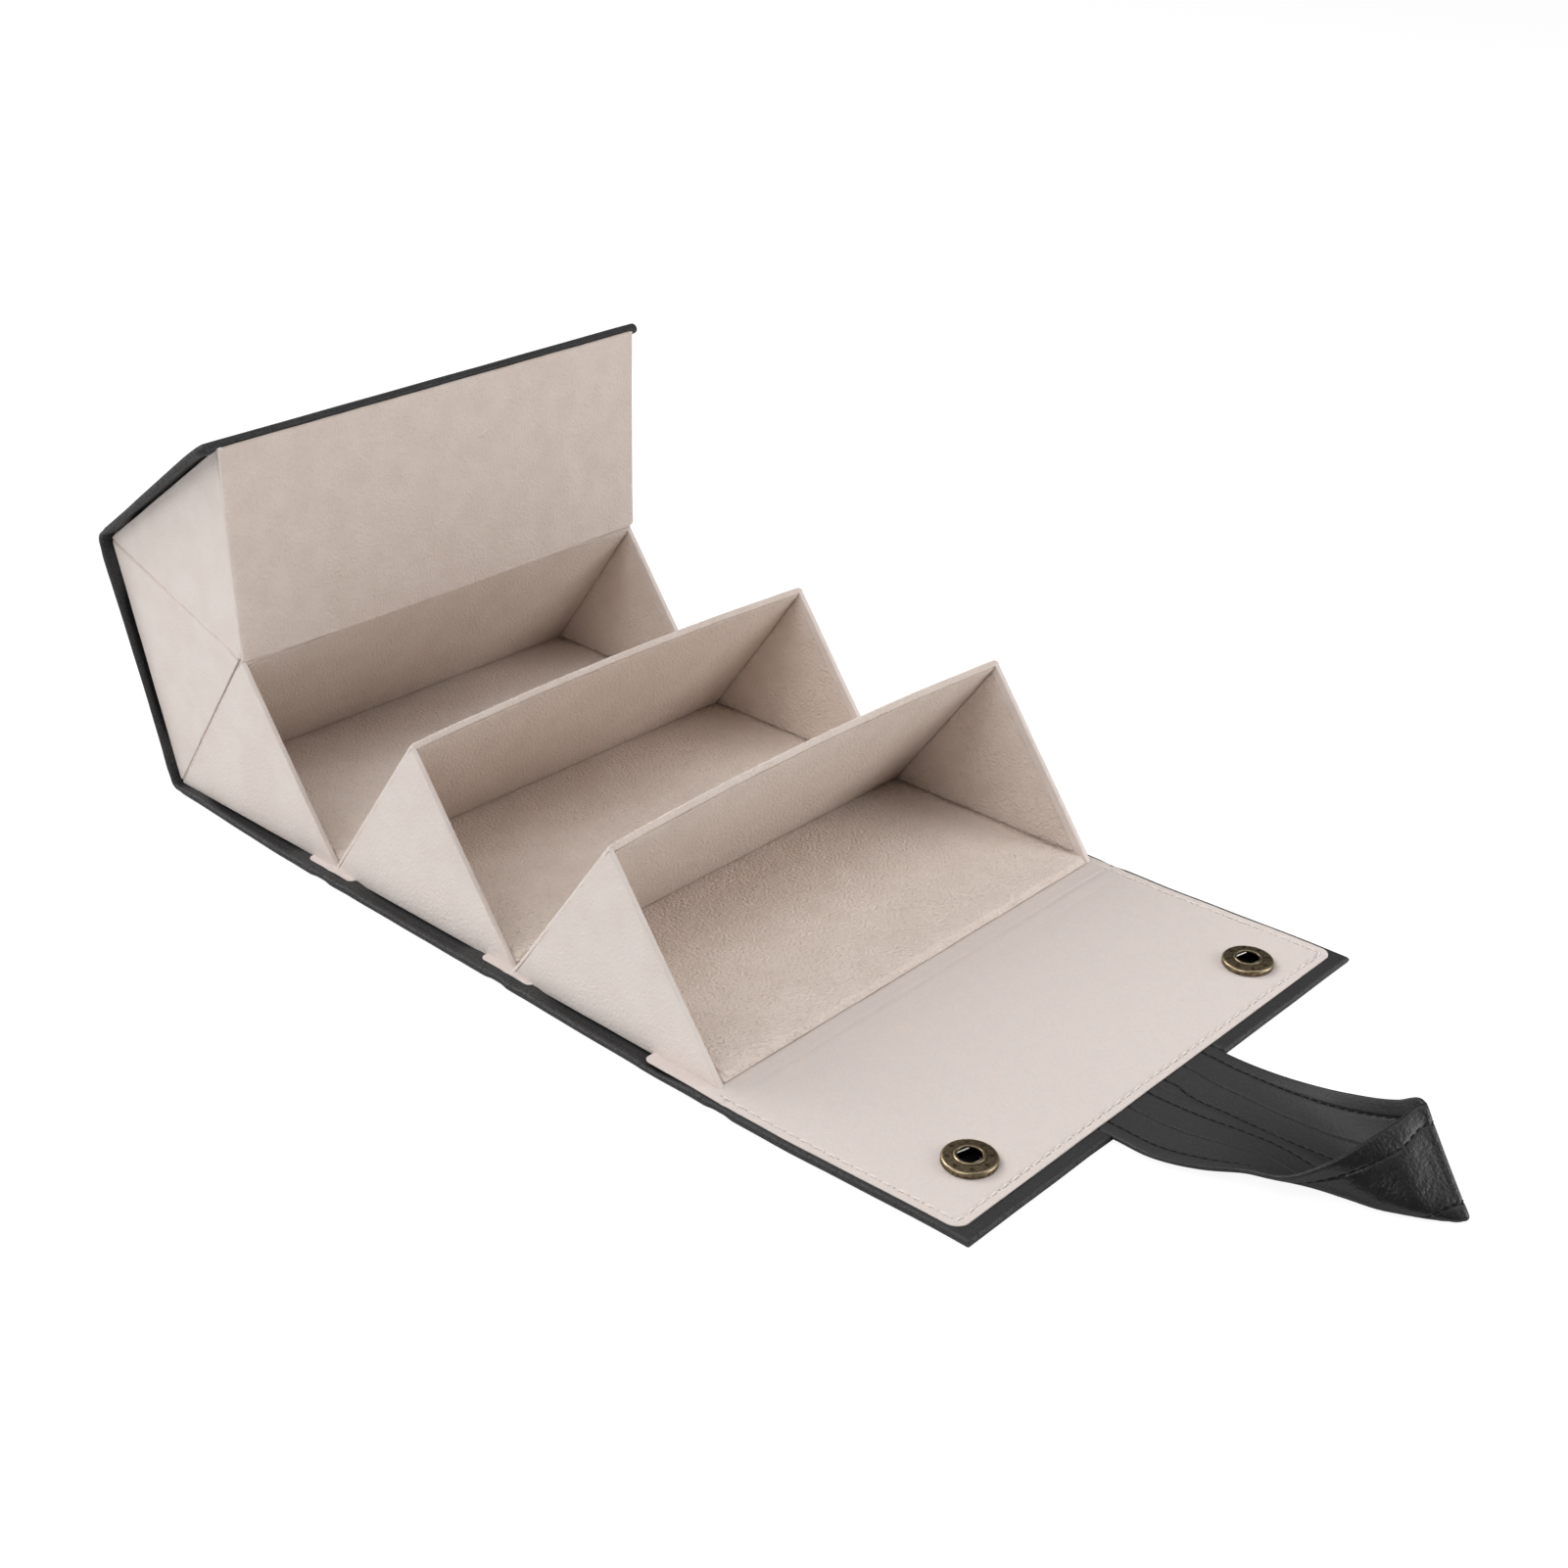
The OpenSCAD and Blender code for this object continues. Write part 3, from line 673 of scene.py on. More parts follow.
def tray_walls(tray):
    """Base, back wall and both end walls of a tray: wrapped boards with soft edges. The back walls of
    trays 3 and 4 have sharper ends, and the end walls of trays 1 and 2 have feet painted lighter, as painted
    light."""

    def put(name, node, grid, finish, **shades):
        parts = [loops(at_tray(wobbled(grid + TRAY_FLOOR, 0.05), tray))]
        piece(f"tray_{tray}_{name}", parts, finish, f"tray_{tray}", "tray_leatherette",
              [f"{node}_{tray}"], **shades)

    base, _ = rounded([at_back(0, -COVERING), at_front(0, COVERING), at_front(WALL_T, COVERING),
                       at_back(WALL_T, WALL_T)], [0.3, 0.2, 0.2, 0.2], spacing=12)
    put("base", "tray_base", bar(base, ALONG), BACK_WALL)
    soft = (0.5, 0.5) if tray in (3, 4) else (1.7, 1.3)
    put("back_wall", "back_wall", back_wall(*soft), BACK_WALL)
    for side, low in (("near", -HALF_L), ("far", HALF_L - WALL_T)):
        foot = FOOT.get((tray, side), FOOT_ELSEWHERE)
        end = rounded([at_back(foot, 0.15), at_front(foot, -COVERING - 0.25),
                       at_top(0.15, -COVERING)], [0.6] * 3, spacing=6)
        plate = board(end, low, low + WALL_T, 0.38)[..., [0, 2, 1]]
        # Painted light: the end walls are painted lighter towards their feet, by 0.6 on trays 1 and 2 and 0.1
        # on the others.
        lighter = 0.6 if tray < 3 else 0.1
        shade = lighter * (1 - smooth(loops(plate)[0][:, 2] / (0.5 * TRAY_H)))
        put(f"{side}_wall", f"{side}_end_wall", plate, END_WALL, low=shade)


def tray_sheets(tray):
    """Lining sheets glued into a tray, a little short of the corners, so that fine dark joints show."""
    inner = WALL_T + LINER_T + LINER_GAP
    half = INNER_HALF - LINER_T - LINER_GAP
    slope = np.array([math.cos(BASE_ANGLE), 0, math.sin(BASE_ANGLE)])
    base = base_lining(at_back(WALL_T, inner)[0], half)
    foot = at_back(inner, WALL_T)
    reach = np.linalg.norm(at_top(WALL_T, 0.6) - foot)
    back = board(rounded([(0, -half), (reach, -half), (reach, half), (0, half)], [0.5] * 4, 5),
                 -0.05, LINER_T, 0.18)
    back[..., 1] *= -1
    back = laid(back, [foot[0], 0, foot[1]], slope, [0, -1, 0])
    ends = [at_back(inner, inner), at_front(inner, LINER_MARGIN), at_top(inner, LINER_MARGIN)]
    end = board(rounded(ends, [0.6, 0.8, 0.8], 5), 0, LINER_T + 0.05, 0.18)[..., [0, 2, 1]]
    near, far = end.copy(), end.copy()
    near[..., 1] = -INNER_HALF + end[..., 1] - 0.05
    far[..., 1] = INNER_HALF - end[..., 1] + 0.05
    parts = [loops(at_tray(wobbled(grid + TRAY_FLOOR, 0.08), tray)) for grid in (base, back, near, far)]
    # Painted shade: upright is 1 on the back wall's sheet and 0.35 on the end walls' sheets, and the lining
    # is painted darker by it.
    upright = np.concatenate([np.full(len(part[0]), u) for part, u in zip(parts, (0, 1, 0.35, 0.35))])
    piece(f"tray_{tray}_lining", parts, TRAY_LINING, f"tray_{tray}", "lining", [f"tray_liner_{tray}"],
          upright=upright)


# Cover


CREASES = [crease_x(tray) for tray in (1, 2, 3, 4)] + [FLAP_X]


def from_crease(x):
    """Distance to the nearest crease."""
    return np.min([np.abs(x - crease) for crease in CREASES], axis=0)


def groove(x):
    """1 on a crease, where no board stiffens the leather, and 0 from the edges of the boards on."""
    return 1 - smooth((from_crease(x) - 1.5) / 4)


def lined(x):
    """1 where a lining lies on the leather, 0 elsewhere, with short ramps between."""
    strip = 1 - smooth((from_crease(x) - STRIP_HALF - 0.1) / 1.2)
    flap = smooth((x - (ROW_END - FLAP_LAP - 1.3)) / 1.2)
    return np.maximum(strip, flap)


def border(x, y):
    """Distance to the flap's free borders."""
    return np.minimum(COVER_HALF - np.abs(y), FLAP_EDGE - x)


def cover_top(x, y):
    """Height of the leather's top. Between creases it sags away from under the trays' end walls, it
    swells where it is folded in at the corners of the free edge, and round the flap's lining it stands up
    a little."""
    level = LEATHER_TOP - (LEATHER_TOP - LINED_TOP) * lined(x)
    sag = smooth((from_crease(x) - 9) / 16) * smooth((np.abs(y) - 78.5) / 4) * (x < FLAP_X)
    sag = sag * (1 - 0.7 * smooth((np.abs(y) - 85.5) / 4))
    sag = sag * (0.4 + 0.6 * smooth((x + 160) / 30)) * smooth((x - FREE_EDGE - 2) / 10)
    swell = 0.9 * smooth((np.abs(y) - 84.5) / 1.5) * (1 - smooth((x - FREE_EDGE - 2) / 5))
    raised = 0.12 * smooth((x - FLAP_X) / 4) * smooth((2.6 - border(x, y)) / 0.5)
    return level - SAG * sag + swell + raised


def cover_under(x, y):
    """Height of the leather's underside. The flap's is lifted off the table between its borders, and at
    the creases the leather is thinner."""
    lift = FLAP_UNDER * smooth((x - FLAP_X + 3) / 6) * smooth((border(x, y) - 4) / 5)
    under = 0.03 + lift
    return under + (0.75 - under) * groove(x) * smooth((91 - np.abs(y)) / 6)


def cover_half(x):
    """Half width of the cover: pinched a little at the creases, wider towards the free edge, and there
    with round corners."""
    inside = np.clip(3 - (x - FREE_EDGE), 0, 3)
    return COVER_HALF - 0.4 * groove(x) + 0.8 * smooth((-150 - x) / 50) - (3 - np.sqrt(9 - inside ** 2))


ACROSS = np.concatenate([np.linspace(-BOARD_HALF, BOARD_HALF, 25), np.arange(-83, -78),
                         np.arange(79, 84)])
POCKET = (STRAP_SHIFT - STRAP_W - 0.7, STRAP_SHIFT + STRAP_W + 0.7)
FLAP_ACROSS = np.sort(np.concatenate([np.linspace(-80, 80, 33), *[
    [edge - 0.5, edge - 0.2, edge, edge + 0.2, edge + 0.5] for edge in POCKET]]))


def leather_stretch(start, end):
    """Leather between two places of the flat row, whose ends are cut straight."""
    inner = np.arange(math.ceil(start / 3) * 3 + 3, end - 2, 3.0)
    near = np.array([0, 0.7, 1.4, 2.1])
    x = np.unique(np.concatenate([start + near, inner, end - near]))
    return x, np.ones(len(x))


def leather_plate(x, thin, top=cover_top, across=ACROSS):
    """Band of leather over the places x, whose thickness is that of the cover times thin."""
    return wobbled(band(x, thin, cover_half(x), across, top, cover_under), 0.05)


def crease_plate(crease, across=ACROSS):
    """Band of leather over a crease."""
    return leather_plate(np.linspace(crease - BEND, crease + BEND, 41), 1.0, cover_top, across)


def half_round(end, radius, direction):
    """Places and thinning of a half-round free edge at end, by rising x: x runs in from it by r (1 - sin),
    while the thickness follows cos. direction is 1 at a low end and -1 at a high one."""
    swing = np.linspace(math.radians(86), 0, 8)
    x = end + direction * radius * (1 - np.sin(swing))
    return x[::direction], np.cos(swing)[::direction]


def cover_leather():
    """Leather of the cover, one stretch under each tray. That of tray 5 ends in a half-round edge."""
    for tray in TRAYS:
        start = FREE_EDGE + 1.5 if tray == 5 else crease_x(tray) + BEND
        end = (crease_x(tray - 1) if tray > 1 else FLAP_X) - BEND
        x, thin = leather_stretch(start, end)
        if tray == 5:
            edge_x, edge_thin = half_round(FREE_EDGE, 1.2, 1)
            x, thin = np.append(edge_x, x), np.append(edge_thin, thin)
        plate = leather_plate(x, thin)
        piece(f"cover_leather_{tray}", [loops(rolled(plate, tray))], COVER_LEATHER, f"tray_{tray}",
              "cover_leather", [f"cover_panel_{tray}"])


def cover_boards():
    """Grey boards inside the cover, one under each tray and one in the flap. A board starts 5 mm past
    one crease and ends 9 mm before the next, or before the flap's edge."""

    def inner(node, body, tray, start, end, low):
        first, last = start + 5, end - 9
        path, _ = rounded([(first, low), (last, low), (last, BOARD_TOP), (first, BOARD_TOP)], [0.2] * 4)
        plate = bar(path, np.linspace(-BOARD_HALF, BOARD_HALF, 8) + skew((start + end) / 2))
        piece(f"inner_{node}", [loops(rolled(plate, tray))], GREYBOARD, body, "greyboard", [node])

    for tray in TRAYS:
        end = crease_x(tray - 1) if tray > 1 else FLAP_X
        inner(f"cover_board_{tray}", f"tray_{tray}", tray, crease_x(tray), end, 0.8)
    inner("flap_board", "flap", 0, FLAP_X, FLAP_EDGE, 1.0)


def crease_points(flat, crease, tray):
    """Flat points about a crease, bent as the blend between its two bodies bends them. At a crease that
    is rolled up at rest, the share of the fold at a point depends on where the point ends up, so it is
    found by repeated turning. Returns the points and the blend's start and end."""
    start = np.array([crease - BEND, 0, COVER_T])
    end = np.array([crease + BEND, 0, COVER_T])
    if tray <= 2:
        return flat, start, end
    start, end = end, turned(start, crease, FOLD)
    line = end - start
    share = smooth((crease + BEND - flat[..., 0]) / (2 * BEND))
    for _ in range(60):
        bent = turned(flat, crease, FOLD * share)
        share = 0.5 * share + 0.5 * smooth((bent - start) @ line / (line @ line))
    bent = turned(flat, crease, FOLD * share)
    if tray == 4:
        bent, start, end = (turned(p, crease_x(3), FOLD) for p in (bent, start, end))
    return bent, start, end


def bent_piece(name, grid, tray, finish, slot, replaces):
    """A piece whose points lie bent over the crease between a tray and the next."""
    points, start, end = crease_points(grid, crease_x(tray), tray)
    made = piece(name, [loops(points)], finish, slot=slot, replaces=replaces)
    start * MM
    end * MM
    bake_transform(made)


def strip_relief(crease):
    """Lining pressed into the crease: a narrow valley with a soft swell on each side."""

    def relief(x, y):
        d = np.abs(x - crease)
        loose = smooth((np.abs(y) - 83.5) / 3)
        valley = (0.16 + 0.1 * loose) * hump(d, 0.9 + 0.5 * loose)
        return valley - (0.03 + 0.22 * loose) * hump(d - 3.4, 1.2 + 1.8 * loose)

    return relief


def lining_stations(start, end, crease):
    """Places along a lining: dense at its ends and about its crease."""
    ends = np.array([0.02, 0.08, 0.2, 0.5, 0.9, 1.4, 2.0, 2.8])
    about = np.linspace(-BEND, BEND, 33)
    wide = np.arange(start + 4, end - 3, 2.5)
    x = np.concatenate([start + ends, end - ends, wide, crease + about])
    x = np.unique(np.round(x, 2))
    return x[(x > start) & (x < end)]


def lining_band(x, start, end, end_r, relief, across, half=LINING_HALF):
    """Lining sheet with round corners and thin rounded rims between two places of the row. end_r is the
    radius of its corners at the end."""
    half_t = LINING_T / 2
    high = COVER_T - 0.02
    from_start, from_end = x - start, end - x
    corner = 0.0
    for gap, radius in ((from_start, STRIP_CORNER), (from_end, end_r)):
        inside = np.clip(radius - gap, 0, radius)
        corner = corner + radius - np.sqrt(np.maximum(radius ** 2 - inside ** 2, 0))
    rim = np.clip(np.minimum(from_start, from_end) / half_t, 0, 1)
    thin = np.sqrt(1 - (1 - rim) ** 2)
    grid = band(x, thin, half - corner, across, lambda px, py: high - relief(px, py),
                lambda px, py: high - LINING_T + 0 * py)
    return wobbled(grid, 0.06)


def creases():
    """Leather and lining strip over each crease between two trays. The strips of the two flat creases
    are shorter."""
    for tray in (1, 2, 3, 4):
        crease, both = crease_x(tray), f"{tray}_{tray + 1}"
        bent_piece(f"crease_leather_{both}", crease_plate(crease), tray, COVER_LEATHER, "cover_leather",
                   [f"crease_{both}"])
        start, end = crease - STRIP_HALF, crease + STRIP_HALF
        half = HALF_L + 0.8 if tray > 2 else LINING_HALF - 1.9
        strip = lining_band(lining_stations(start, end, crease), start, end, STRIP_CORNER,
                            strip_relief(crease), ACROSS, half)
        bent_piece(f"crease_lining_{both}", strip, tray, NUBUCK, "lining",
                   [f"hinge_strip_{tray}", f"hinge_strip_{tray + 1}"])


# Flap


def pocket(x, y):
    """How far the leather is let down where the strap lies in it."""
    inside = smooth((y - POCKET[0] + 0.3) / 0.5) * smooth((POCKET[1] + 0.3 - y) / 0.5)
    return inside * smooth((x - FLAP_EDGE + 9.5) / 0.8)


def flap_leather():
    """Leather of the flap. Its front edge is half round and lies lower where the strap crosses it."""
    x, thin = leather_stretch(FLAP_X + BEND, FLAP_EDGE - 11)
    front = np.arange(FLAP_EDGE - 10, FLAP_EDGE - 1.5, 0.5)
    edge_x, edge_thin = half_round(FLAP_EDGE, 0.85, -1)
    x = np.concatenate([x, front, edge_x])
    thin = np.concatenate([thin, np.ones(len(front)), edge_thin])

    def top(px, py):
        level = cover_top(px, py)
        return level + (0.75 - level) * pocket(px, py + skew(px))

    plate = leather_plate(x, thin, top, FLAP_ACROSS)
    piece("flap_leather", [loops(plate)], COVER_LEATHER, "flap", "cover_leather", ["flap_cover"])
    crease = piece("flap_crease_leather", [loops(crease_plate(FLAP_X, FLAP_ACROSS))], COVER_LEATHER,
                   slot="cover_leather", replaces=["flap_crease"])
    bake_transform(crease)


def border_distance(x, y):
    """Distance to the flap lining's sides and front, with its round front corners."""
    side, front = LINING_HALF - np.abs(y), LINING_FRONT - x
    r = FLAP_CORNER
    corner = r - np.hypot(np.maximum(r - side, 0), np.maximum(r - front, 0))
    return np.where((side < r) & (front < r), corner, np.minimum(side, front))


def flap_relief(x, y):
    """Relief of the flap's lining: the seam presses a groove beside its border, the crease and the edge
    of the board show as soft steps, and the sheet swells a little between."""
    distance = border_distance(x, y)
    seam = 0.28 * hump(distance - SEAM_INSET, 0.55) * smooth((x - SEAM_START + 2) / 2)
    crease = 0.3 * hump(x - FLAP_X, 0.55) - 0.12 * hump(x - FLAP_X - 2.4, 1.2)
    board_edge = 0.14 * hump(x - FLAP_X - 5.6, 0.7)
    swell = 0.05 * np.sin(0.11 * x + 0.4) * np.sin(0.07 * y + 1.0)
    return np.minimum(seam + crease + board_edge, 0.32) - np.abs(swell)


def flap_sheet():
    """Lining of the flap, which runs in under tray 1."""
    start = ROW_END - FLAP_LAP
    fine_front = LINING_FRONT - np.array([1.7, 2.0, 2.3, 2.6, 2.9, 3.2, 3.6, 4.2])
    x = np.unique(np.concatenate([lining_stations(start, LINING_FRONT, FLAP_X), fine_front]))
    grid = lining_band(x, start, LINING_FRONT, FLAP_CORNER, flap_relief, FLAP_ACROSS)
    sheet = piece("flap_sheet", [loops(grid)], NUBUCK, slot="lining",
                  replaces=["flap_lining", "hinge_strip_1"])
    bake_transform(sheet)


def stitch_row(path, normals, pitch, length, radius, angle=0.0, sink=0.3, first=0.5):
    """Stitches along a path. A stitch is a small closed body: along u from -1 to 1 its round section
    shrinks as the root of 1 - u^4, and its middle dips into the surface at both ends. It is turned by an
    angle to the path, and lies a share sink of its radius below it. first is the first one's place, in
    stitches."""
    steps = np.linalg.norm(np.diff(path, axis=0), axis=1)
    run = np.concatenate([[0], np.cumsum(steps)])
    count = int(run[-1] // pitch)
    at = (np.arange(count) + first) * run[-1] / count

    def pick(values, places):
        return np.stack([np.interp(places, run, values[:, k]) for k in range(3)], axis=1)

    ahead, behind = pick(path, at + length / 2), pick(path, at - length / 2)
    centre, up = pick(path, at), pick(normals, at)
    along = ahead - behind
    along /= np.linalg.norm(along, axis=1, keepdims=True)
    side = np.cross(up, along)
    along = along * math.cos(angle) + side * math.sin(angle)
    side = np.cross(up, along)
    u = np.linspace(-0.98, 0.98, 7)[None, :, None, None]
    swing = full_turn(8)[None, None, :, None]
    round_r = radius * (1 - u ** 4) ** 0.5
    lift = radius * (1 - sink) - radius * 1.4 * u ** 4
    c, a, s, n = (v[:, None, None, :] for v in (centre, along, side, up))
    grid = (c + a * u * length / 2 + s * round_r * np.cos(swing) + n * (lift + round_r * np.sin(swing)))
    return [loops(stitch) for stitch in grid]


def flap_seam():
    """Seam round the flap: pale stitches on the lining, and the same on the leather beneath, with darker
    beige dots between the stitches on the lining as painted shade in the needle holes.
    """
    radius = FLAP_CORNER - SEAM_INSET
    half, front = LINING_HALF - SEAM_INSET, LINING_FRONT - SEAM_INSET
    outline, _ = rounded([(SEAM_START, -half), (front, -half), (front, half), (SEAM_START, half)],
                         [0.01, radius, radius, 0.01], 3, 8)
    first = np.argmin(np.hypot(outline[:, 0] - SEAM_START, outline[:, 1] + half))
    outline = np.roll(outline, -first, axis=0)
    last = np.argmin(np.hypot(outline[:, 0] - SEAM_START, outline[:, 1] - half))
    outline = outline[: last + 1]
    outline[:, 1] += skew(outline[:, 0])
    path = np.column_stack([outline, np.full(len(outline), COVER_T - 0.2)])
    up = np.tile([0.0, 0.0, 1.0], (len(path), 1))
    pitch = 4.4
    top = stitch_row(path, up, pitch, length=3.0, radius=0.27, angle=0.06)
    under = path.copy()
    under[:, 2] = 0.3
    bottom = stitch_row(under, -up, pitch, length=3.1, radius=0.26, angle=0.06)
    piece("flap_seam", top + bottom, PALE_THREAD, "flap", "lining")
    # Painted shade: small darker beige bodies stand for the needle holes between the stitches.
    path[:, 2] = COVER_T - 0.16
    holes = stitch_row(path, up, pitch, length=0.5, radius=0.24, sink=1.0, first=0.0)
    piece("flap_needle_holes", holes, NEEDLE_HOLE_SHADE, "flap", "lining")


# Snaps


def snap_socket(side):
    """Ring socket of a snap. Its section, from the foot over the flat ring and the raised lip down into
    the hole, is carried round the axis; fine notches run round its bevel, and dots are punched into its
    ring. A row of the section is the radius, the height over the lining and how worn the metal is; the
    numbers below zero, down in the hole, paint it near black as painted shade."""
    notches, pips, pip_ring, pip_size = 72, 8, 5.6, 0.6
    section = np.array([
        (7.1, 0.0, 0.0), (7.35, 0.08, 0.2), (7.5, 0.35, 0.55), (7.5, 0.9, 0.5), (7.48, 1.3, 0.7),
        (7.35, 1.55, 1.0), (7.1, 1.75, 1.0), (6.8, 1.84, 0.75), (6.5, 1.88, 0.6), (6.2, 1.91, 0.6),
        (6.0, 1.93, 0.6), (5.8, 1.95, 0.6), (5.6, 1.97, 0.6), (5.4, 1.99, 0.6), (5.2, 2.01, 0.6),
        (5.0, 2.03, 0.6), (4.75, 2.06, 0.5), (4.4, 2.1, 0.3), (4.22, 2.16, 0.35), (4.1, 2.28, 0.8),
        (3.95, 2.37, 1.0), (3.75, 2.4, 1.0), (3.5, 2.36, 0.9), (3.32, 2.22, 0.3), (3.26, 1.9, -0.9),
        (3.26, 1.2, -2.0), (3.26, 0.4, -2.0), (3.3, 0.0, -2.0), (5.0, 0.0, -2.0)])
    swing = full_turn(288)[:, None]
    radius, height = section[None, :, 0], section[None, :, 1]
    on_bevel = hump(radius - 6.75, 0.32) * (height > 1)
    notch = 0.5 - 0.5 * np.cos(notches * swing)
    around = np.mod(swing + math.pi / pips, 2 * math.pi / pips) - math.pi / pips
    pip_r = np.hypot(radius - pip_ring, pip_ring * around)
    pip = hump(pip_r, pip_size, 4) * (height > 1.5)
    z = COVER_T + height - 0.045 * on_bevel * notch - 0.12 * pip
    grid = np.stack([SNAP_X + radius * np.cos(swing), side * SNAP_Y + radius * np.sin(swing), z], axis=-1)
    # Painted shade: the rows down in the hole carry numbers below zero, which paint the brass there near
    # black.
    shade = section[None, :, 2] - 0.9 * pip - 0.4 * on_bevel * notch
    name = "near" if side < 0 else "far"
    piece(f"snap_socket_{name}", [ring(grid)], BRASS, "flap", "antique_brass", ["snap_sockets"],
          rubbed=np.broadcast_to(shade, grid.shape[:2]).ravel())


def snap_springs():
    """Springs of the snaps: in each socket two straight wires, one at each side of the hole, whose ends
    bend towards the wall. A round section is carried along each wire."""
    run = np.linspace(-3.1, 3.1, 25)
    aside = 2.85 + 0.2 * smooth((np.abs(run) - 2.2) / 0.9)
    swing = full_turn(12)
    turn = math.radians(76)
    along, across = np.array([math.cos(turn), math.sin(turn)]), np.array([-math.sin(turn), math.cos(turn)])
    parts = []
    for side in (-1, 1):
        for hand in (-1, 1):
            off = hand * aside[:, None] + SPRING_R * np.cos(swing)[None]
            grid = np.zeros((len(run), len(swing), 3))
            grid[..., :2] = (np.array([SNAP_X, side * SNAP_Y]) + run[:, None, None] * along
                             + off[..., None] * across)
            grid[..., 2] = SPRING_Z + SPRING_R * np.sin(swing)
            parts.append(loops(grid))
    piece("snap_spring_wires", parts, STEEL, "flap", "spring_steel", ["snap_springs"])


# Strap


# Rows of three points across the strap: x from the flap's edge, y, and z over the middle of its root
STRAP_NEAR = [
    [(0, 0.4, 0.1), (0, -13, 0), (0, -26.6, 0)],
    [(10, 0.7, 0.5), (10.2, -13.2, 0.5), (10.4, -27.2, 0.6)],
    [(24, 1.4, 0.9), (24, -11.2, 1.7), (24, -22.9, 1.3)],
    [(33, 2, 0.9), (33, -8.9, 1.6), (32.5, -18.7, 2.7)],
    [(45, 2.6, 0.2), (44.8, -8.5, 0.6), (44.1, -16, 5.5)],
    [(56, 2.6, -0.7), (55, -6.6, 0.4), (51.5, -9, 10.5)],
    [(67, 2.6, -1), (64.5, -4.2, 2.4), (56, 3.6, 14.6)],
    [(75.5, 3.2, -1), (69.6, 0.8, 4.4), (57.8, 11.8, 16)]]
STRAP_FOLD = [
    [(81.2, 5.6, -1), (70.8, 11.2, 7.2), (59, 18.6, 16.8)],
    [(82, 7.2, -1), (71.6, 13.2, 7.3), (59.8, 20.4, 16.9)],
    [(80.6, 8.2, -1), (70.2, 14.6, 7.2), (58.4, 21.6, 16.8)]]
STRAP_FAR = [
    [(73, 6.8, -1), (63, 14.4, 5.0), (52.5, 21.6, 13.6)],
    [(53.3, 2.8, -1), (46, 13.0, 1.2), (38.4, 22.6, 8.2)],
    [(32.8, 0.2, -1), (28.2, 12.2, 0), (23.6, 24.2, 3.8)],
    [(16.4, -0.8, -1), (14.1, 12.6, -0.5), (11.8, 25.6, 1.2)],
    [(0, -0.6, -0.7), (0, 12.8, -0.3), (0, 26.5, 0)]]
STRAP_START = 1.5
STRAP_LONG = 82.0
STRAP_ROOT = 9.0
STRAP_MIDDLE_Z = 1.45
STRAP_STITCH_IN = 4.3


def strap_rows():
    """Rows of the strap, from its middle edge to its outer edge, in the part's frame. Both ends
    get three more rows inside the flap."""
    rows = np.array(STRAP_NEAR + STRAP_FOLD + STRAP_FAR, float)
    rows[..., 0] = FLAP_EDGE + STRAP_START + rows[..., 0] * (STRAP_LONG - STRAP_START) / STRAP_LONG
    rows[..., 1] += STRAP_SHIFT
    rows[..., 2] = np.maximum(STRAP_MIDDLE_Z + rows[..., 2], STRAP_T / 2 + 0.03)
    back = np.array([[STRAP_ROOT], [STRAP_ROOT / 2], [STRAP_START]])
    near, far = (np.repeat(rows[[k]], len(back), axis=0) for k in (0, -1))
    for end in (near, far):
        end[..., 0] = FLAP_EDGE + STRAP_START - back
        end[..., 2] = STRAP_MIDDLE_Z
    return np.concatenate([near, rows, far[::-1]])


def strap_sheet(places, across):
    """Middle surface of the strap. Along it, a cubic through the rows, whose tangents are those of the
    parabola through three neighbouring rows; across it, the parabola through a row's three points."""
    rows = strap_rows()
    gaps = np.linalg.norm(np.diff(rows, axis=0), axis=2).mean(1)
    knots = np.concatenate([[0], np.cumsum(gaps)])
    slopes = np.diff(rows, axis=0) / gaps[:, None, None]
    before, after = gaps[:-1, None, None], gaps[1:, None, None]
    inner = (slopes[:-1] * after + slopes[1:] * before) / (before + after)
    tangents = np.concatenate([slopes[:1], inner, slopes[-1:]])
    run = places * knots[-1]
    k = np.clip(np.searchsorted(knots, run, side="right") - 1, 0, len(gaps) - 1)
    gap = gaps[k][:, None, None]
    t = ((run - knots[k]) / gaps[k])[:, None, None]
    along = ((2 * t ** 3 - 3 * t ** 2 + 1) * rows[k] + (t ** 3 - 2 * t ** 2 + t) * gap * tangents[k]
             + (3 * t ** 2 - 2 * t ** 3) * rows[k + 1] + (t ** 3 - t ** 2) * gap * tangents[k + 1])
    v = across[None, :, None]
    first, middle, last = along[:, None, 0], along[:, None, 1], along[:, None, 2]
    return first * (1 - v) * (1 - 2 * v) + middle * 4 * v * (1 - v) + last * v * (2 * v - 1)


def strap_frames(sheet):
    """Unit directions over the strap and square to it, its inner face up at the root."""
    along = np.gradient(sheet, axis=0)
    over = np.gradient(sheet, axis=1)
    over /= np.linalg.norm(over, axis=2, keepdims=True)
    normal = np.cross(over, along)
    normal /= np.linalg.norm(normal, axis=2, keepdims=True)
    return over, normal


# Places along the strap, closest together at its fold
STRAP_PLACES = np.concatenate([np.linspace(0, 0.46, 110), np.linspace(0.465, 0.6, 90),
                               np.linspace(0.605, 1, 100)])


